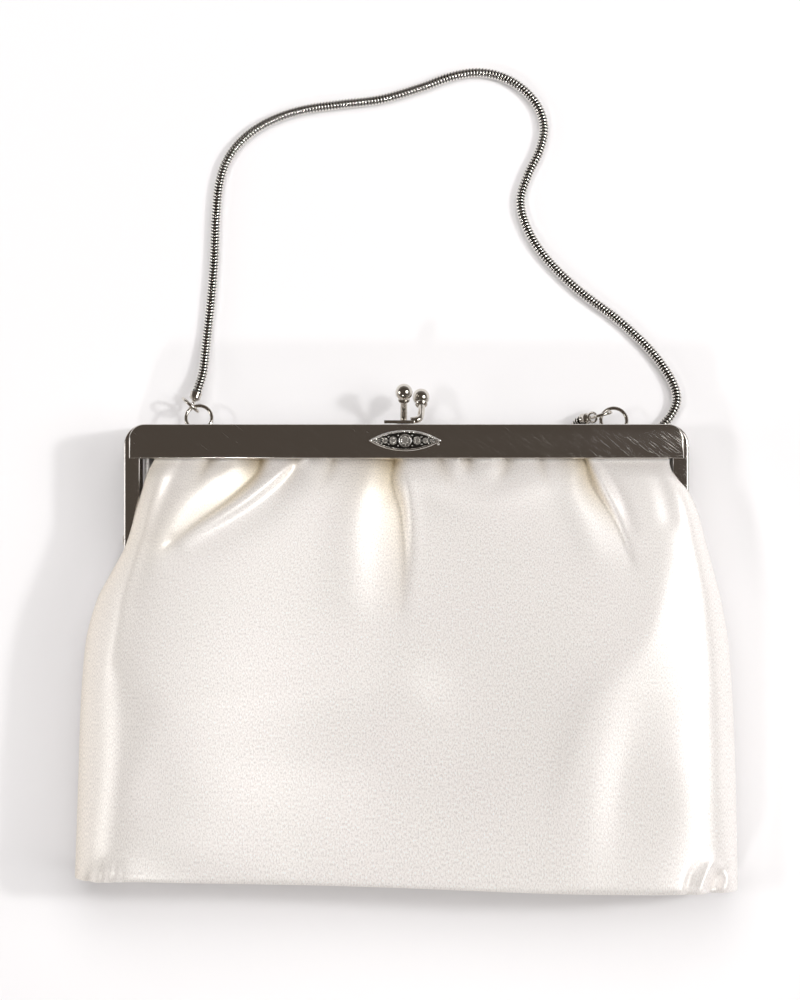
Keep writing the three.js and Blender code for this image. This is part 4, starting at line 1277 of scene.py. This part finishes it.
route = through([
    cap_start(HANDLE_ENDS[0], CAP_END), *(above_frame(*spot) for spot in CHAIN_ROUTE),
    cap_start(HANDLE_ENDS[1], CAP_END),
], ROUTE_STEPS)
route_steps = [(b - a).length for a, b in zip(route, route[1:])]
ROUTE_LENGTH = sum(route_steps)
print("chain length, mm:", round(ROUTE_LENGTH, 1))

# %% Ribs along the route
RIB_PITCH = 1.0
RIB_SHARES = [0.0, 0.16, 0.3, 0.5, 0.7, 0.84]
RIB_DEPTH = 0.42
CHAIN_SIDES = 20
ZIGZAGS = 4
ZIGZAG_DEPTH = 0.16
SIDE_SHADE = 0.25
WAY_REACH = 0.5
CHAIN_CRISP = math.radians(40)


def at_distance(distances):
    """Places and ways on the route at given distances from its start."""
    marks = np.concatenate([[0], np.cumsum(route_steps)])
    spots = np.array(route)

    def at(run):
        return np.stack([np.interp(run, marks, spots[:, k]) for k in range(3)], axis=1)

    ways = at(distances + WAY_REACH) - at(distances - WAY_REACH)
    return at(distances), ways / np.linalg.norm(ways, axis=1)[:, None]


def chain_material():
    """Nickel with painted shade in its grooves: bright teeth between nearly black gaps."""
    material, tree = new_material("grooved_nickel_plate")
    # painted shade: the plating is tinted nearly black by the depth of the groove
    groove = add_node(tree, "Attribute", attribute_name="groove").outputs["Fac"]
    groove_shade = add_node(tree, "MapRange", {
        "Value": groove, "From Min": 0.05, "From Max": 0.3, "To Min": 0.0, "To Max": 1.0,
    })
    tint = add_node(tree, "Mix", {
        "Factor": groove_shade.outputs["Result"], "A": linear("#F4F1EC"), "B": linear("#171411"),
    }, data_type="RGBA")
    shader = add_node(tree, "BsdfPrincipled", {
        "Base Color": tint.outputs["Result"], "Metallic": 1.0, "Roughness": 0.2,
    })
    add_node(tree, "OutputMaterial", {"Surface": shader.outputs["BSDF"]})
    return material


def snake_chain():
    """A tube of zig-zag ribs along the route."""
    ribs = int(ROUTE_LENGTH / RIB_PITCH)
    shares = np.array(RIB_SHARES)
    depths = RIB_DEPTH * (1 - np.sqrt(1 - (2 * shares - 1) ** 2))
    rows = ribs * len(shares)
    bm = bmesh.new()
    groove = bm.verts.layers.float.new("groove")
    bmesh.ops.create_grid(bm, x_segments=rows, y_segments=CHAIN_SIDES, size=1)
    verts = list(bm.verts)
    flat = np.array([vert.co for vert in verts])
    row = np.rint((flat[:, 0] + 1) / 2 * rows).astype(int)
    column = np.rint((flat[:, 1] + 1) / 2 * CHAIN_SIDES).astype(int) % CHAIN_SIDES
    part = row % len(shares)
    turn = column / CHAIN_SIDES
    zigzag = np.abs((turn * ZIGZAGS) % 1 - 0.5) * 2 - 0.5
    along = (row // len(shares) + shares[part]) * RIB_PITCH + zigzag * ZIGZAG_DEPTH * 2
    places, ways = at_distance(np.clip(along, 0, ROUTE_LENGTH))
    sides = np.cross((0, 0, 1), ways)
    sides /= np.linalg.norm(sides, axis=1)[:, None]
    tops = np.cross(ways, sides)
    angle = turn * 2 * math.pi + math.pi / 4
    spoke = sides * np.cos(angle)[:, None] + tops * np.sin(angle)[:, None]
    spots = places + spoke * (CHAIN_RADIUS - depths[part])[:, None]
    # painted shade counts fully where the chain faces up and less at its sides, which see the white table
    shown = lerp(SIDE_SHADE, 1, np.clip(np.sin(angle), 0, 1))
    for vert, spot, depth in zip(verts, spots, depths[part] * shown):
        vert.co = spot
        vert[groove] = depth / RIB_DEPTH
    bmesh.ops.remove_doubles(bm, verts=bm.verts, dist=MERGE)
    bmesh.ops.holes_fill(bm, edges=[edge for edge in bm.edges if edge.is_boundary], sides=0)
    bmesh.ops.recalc_face_normals(bm, faces=bm.faces)
    return bm


stand_for("snake_chain", snake_chain(), "nickel_snake_chain", "plated_steel", chain_material(),
          crisp=CHAIN_CRISP)
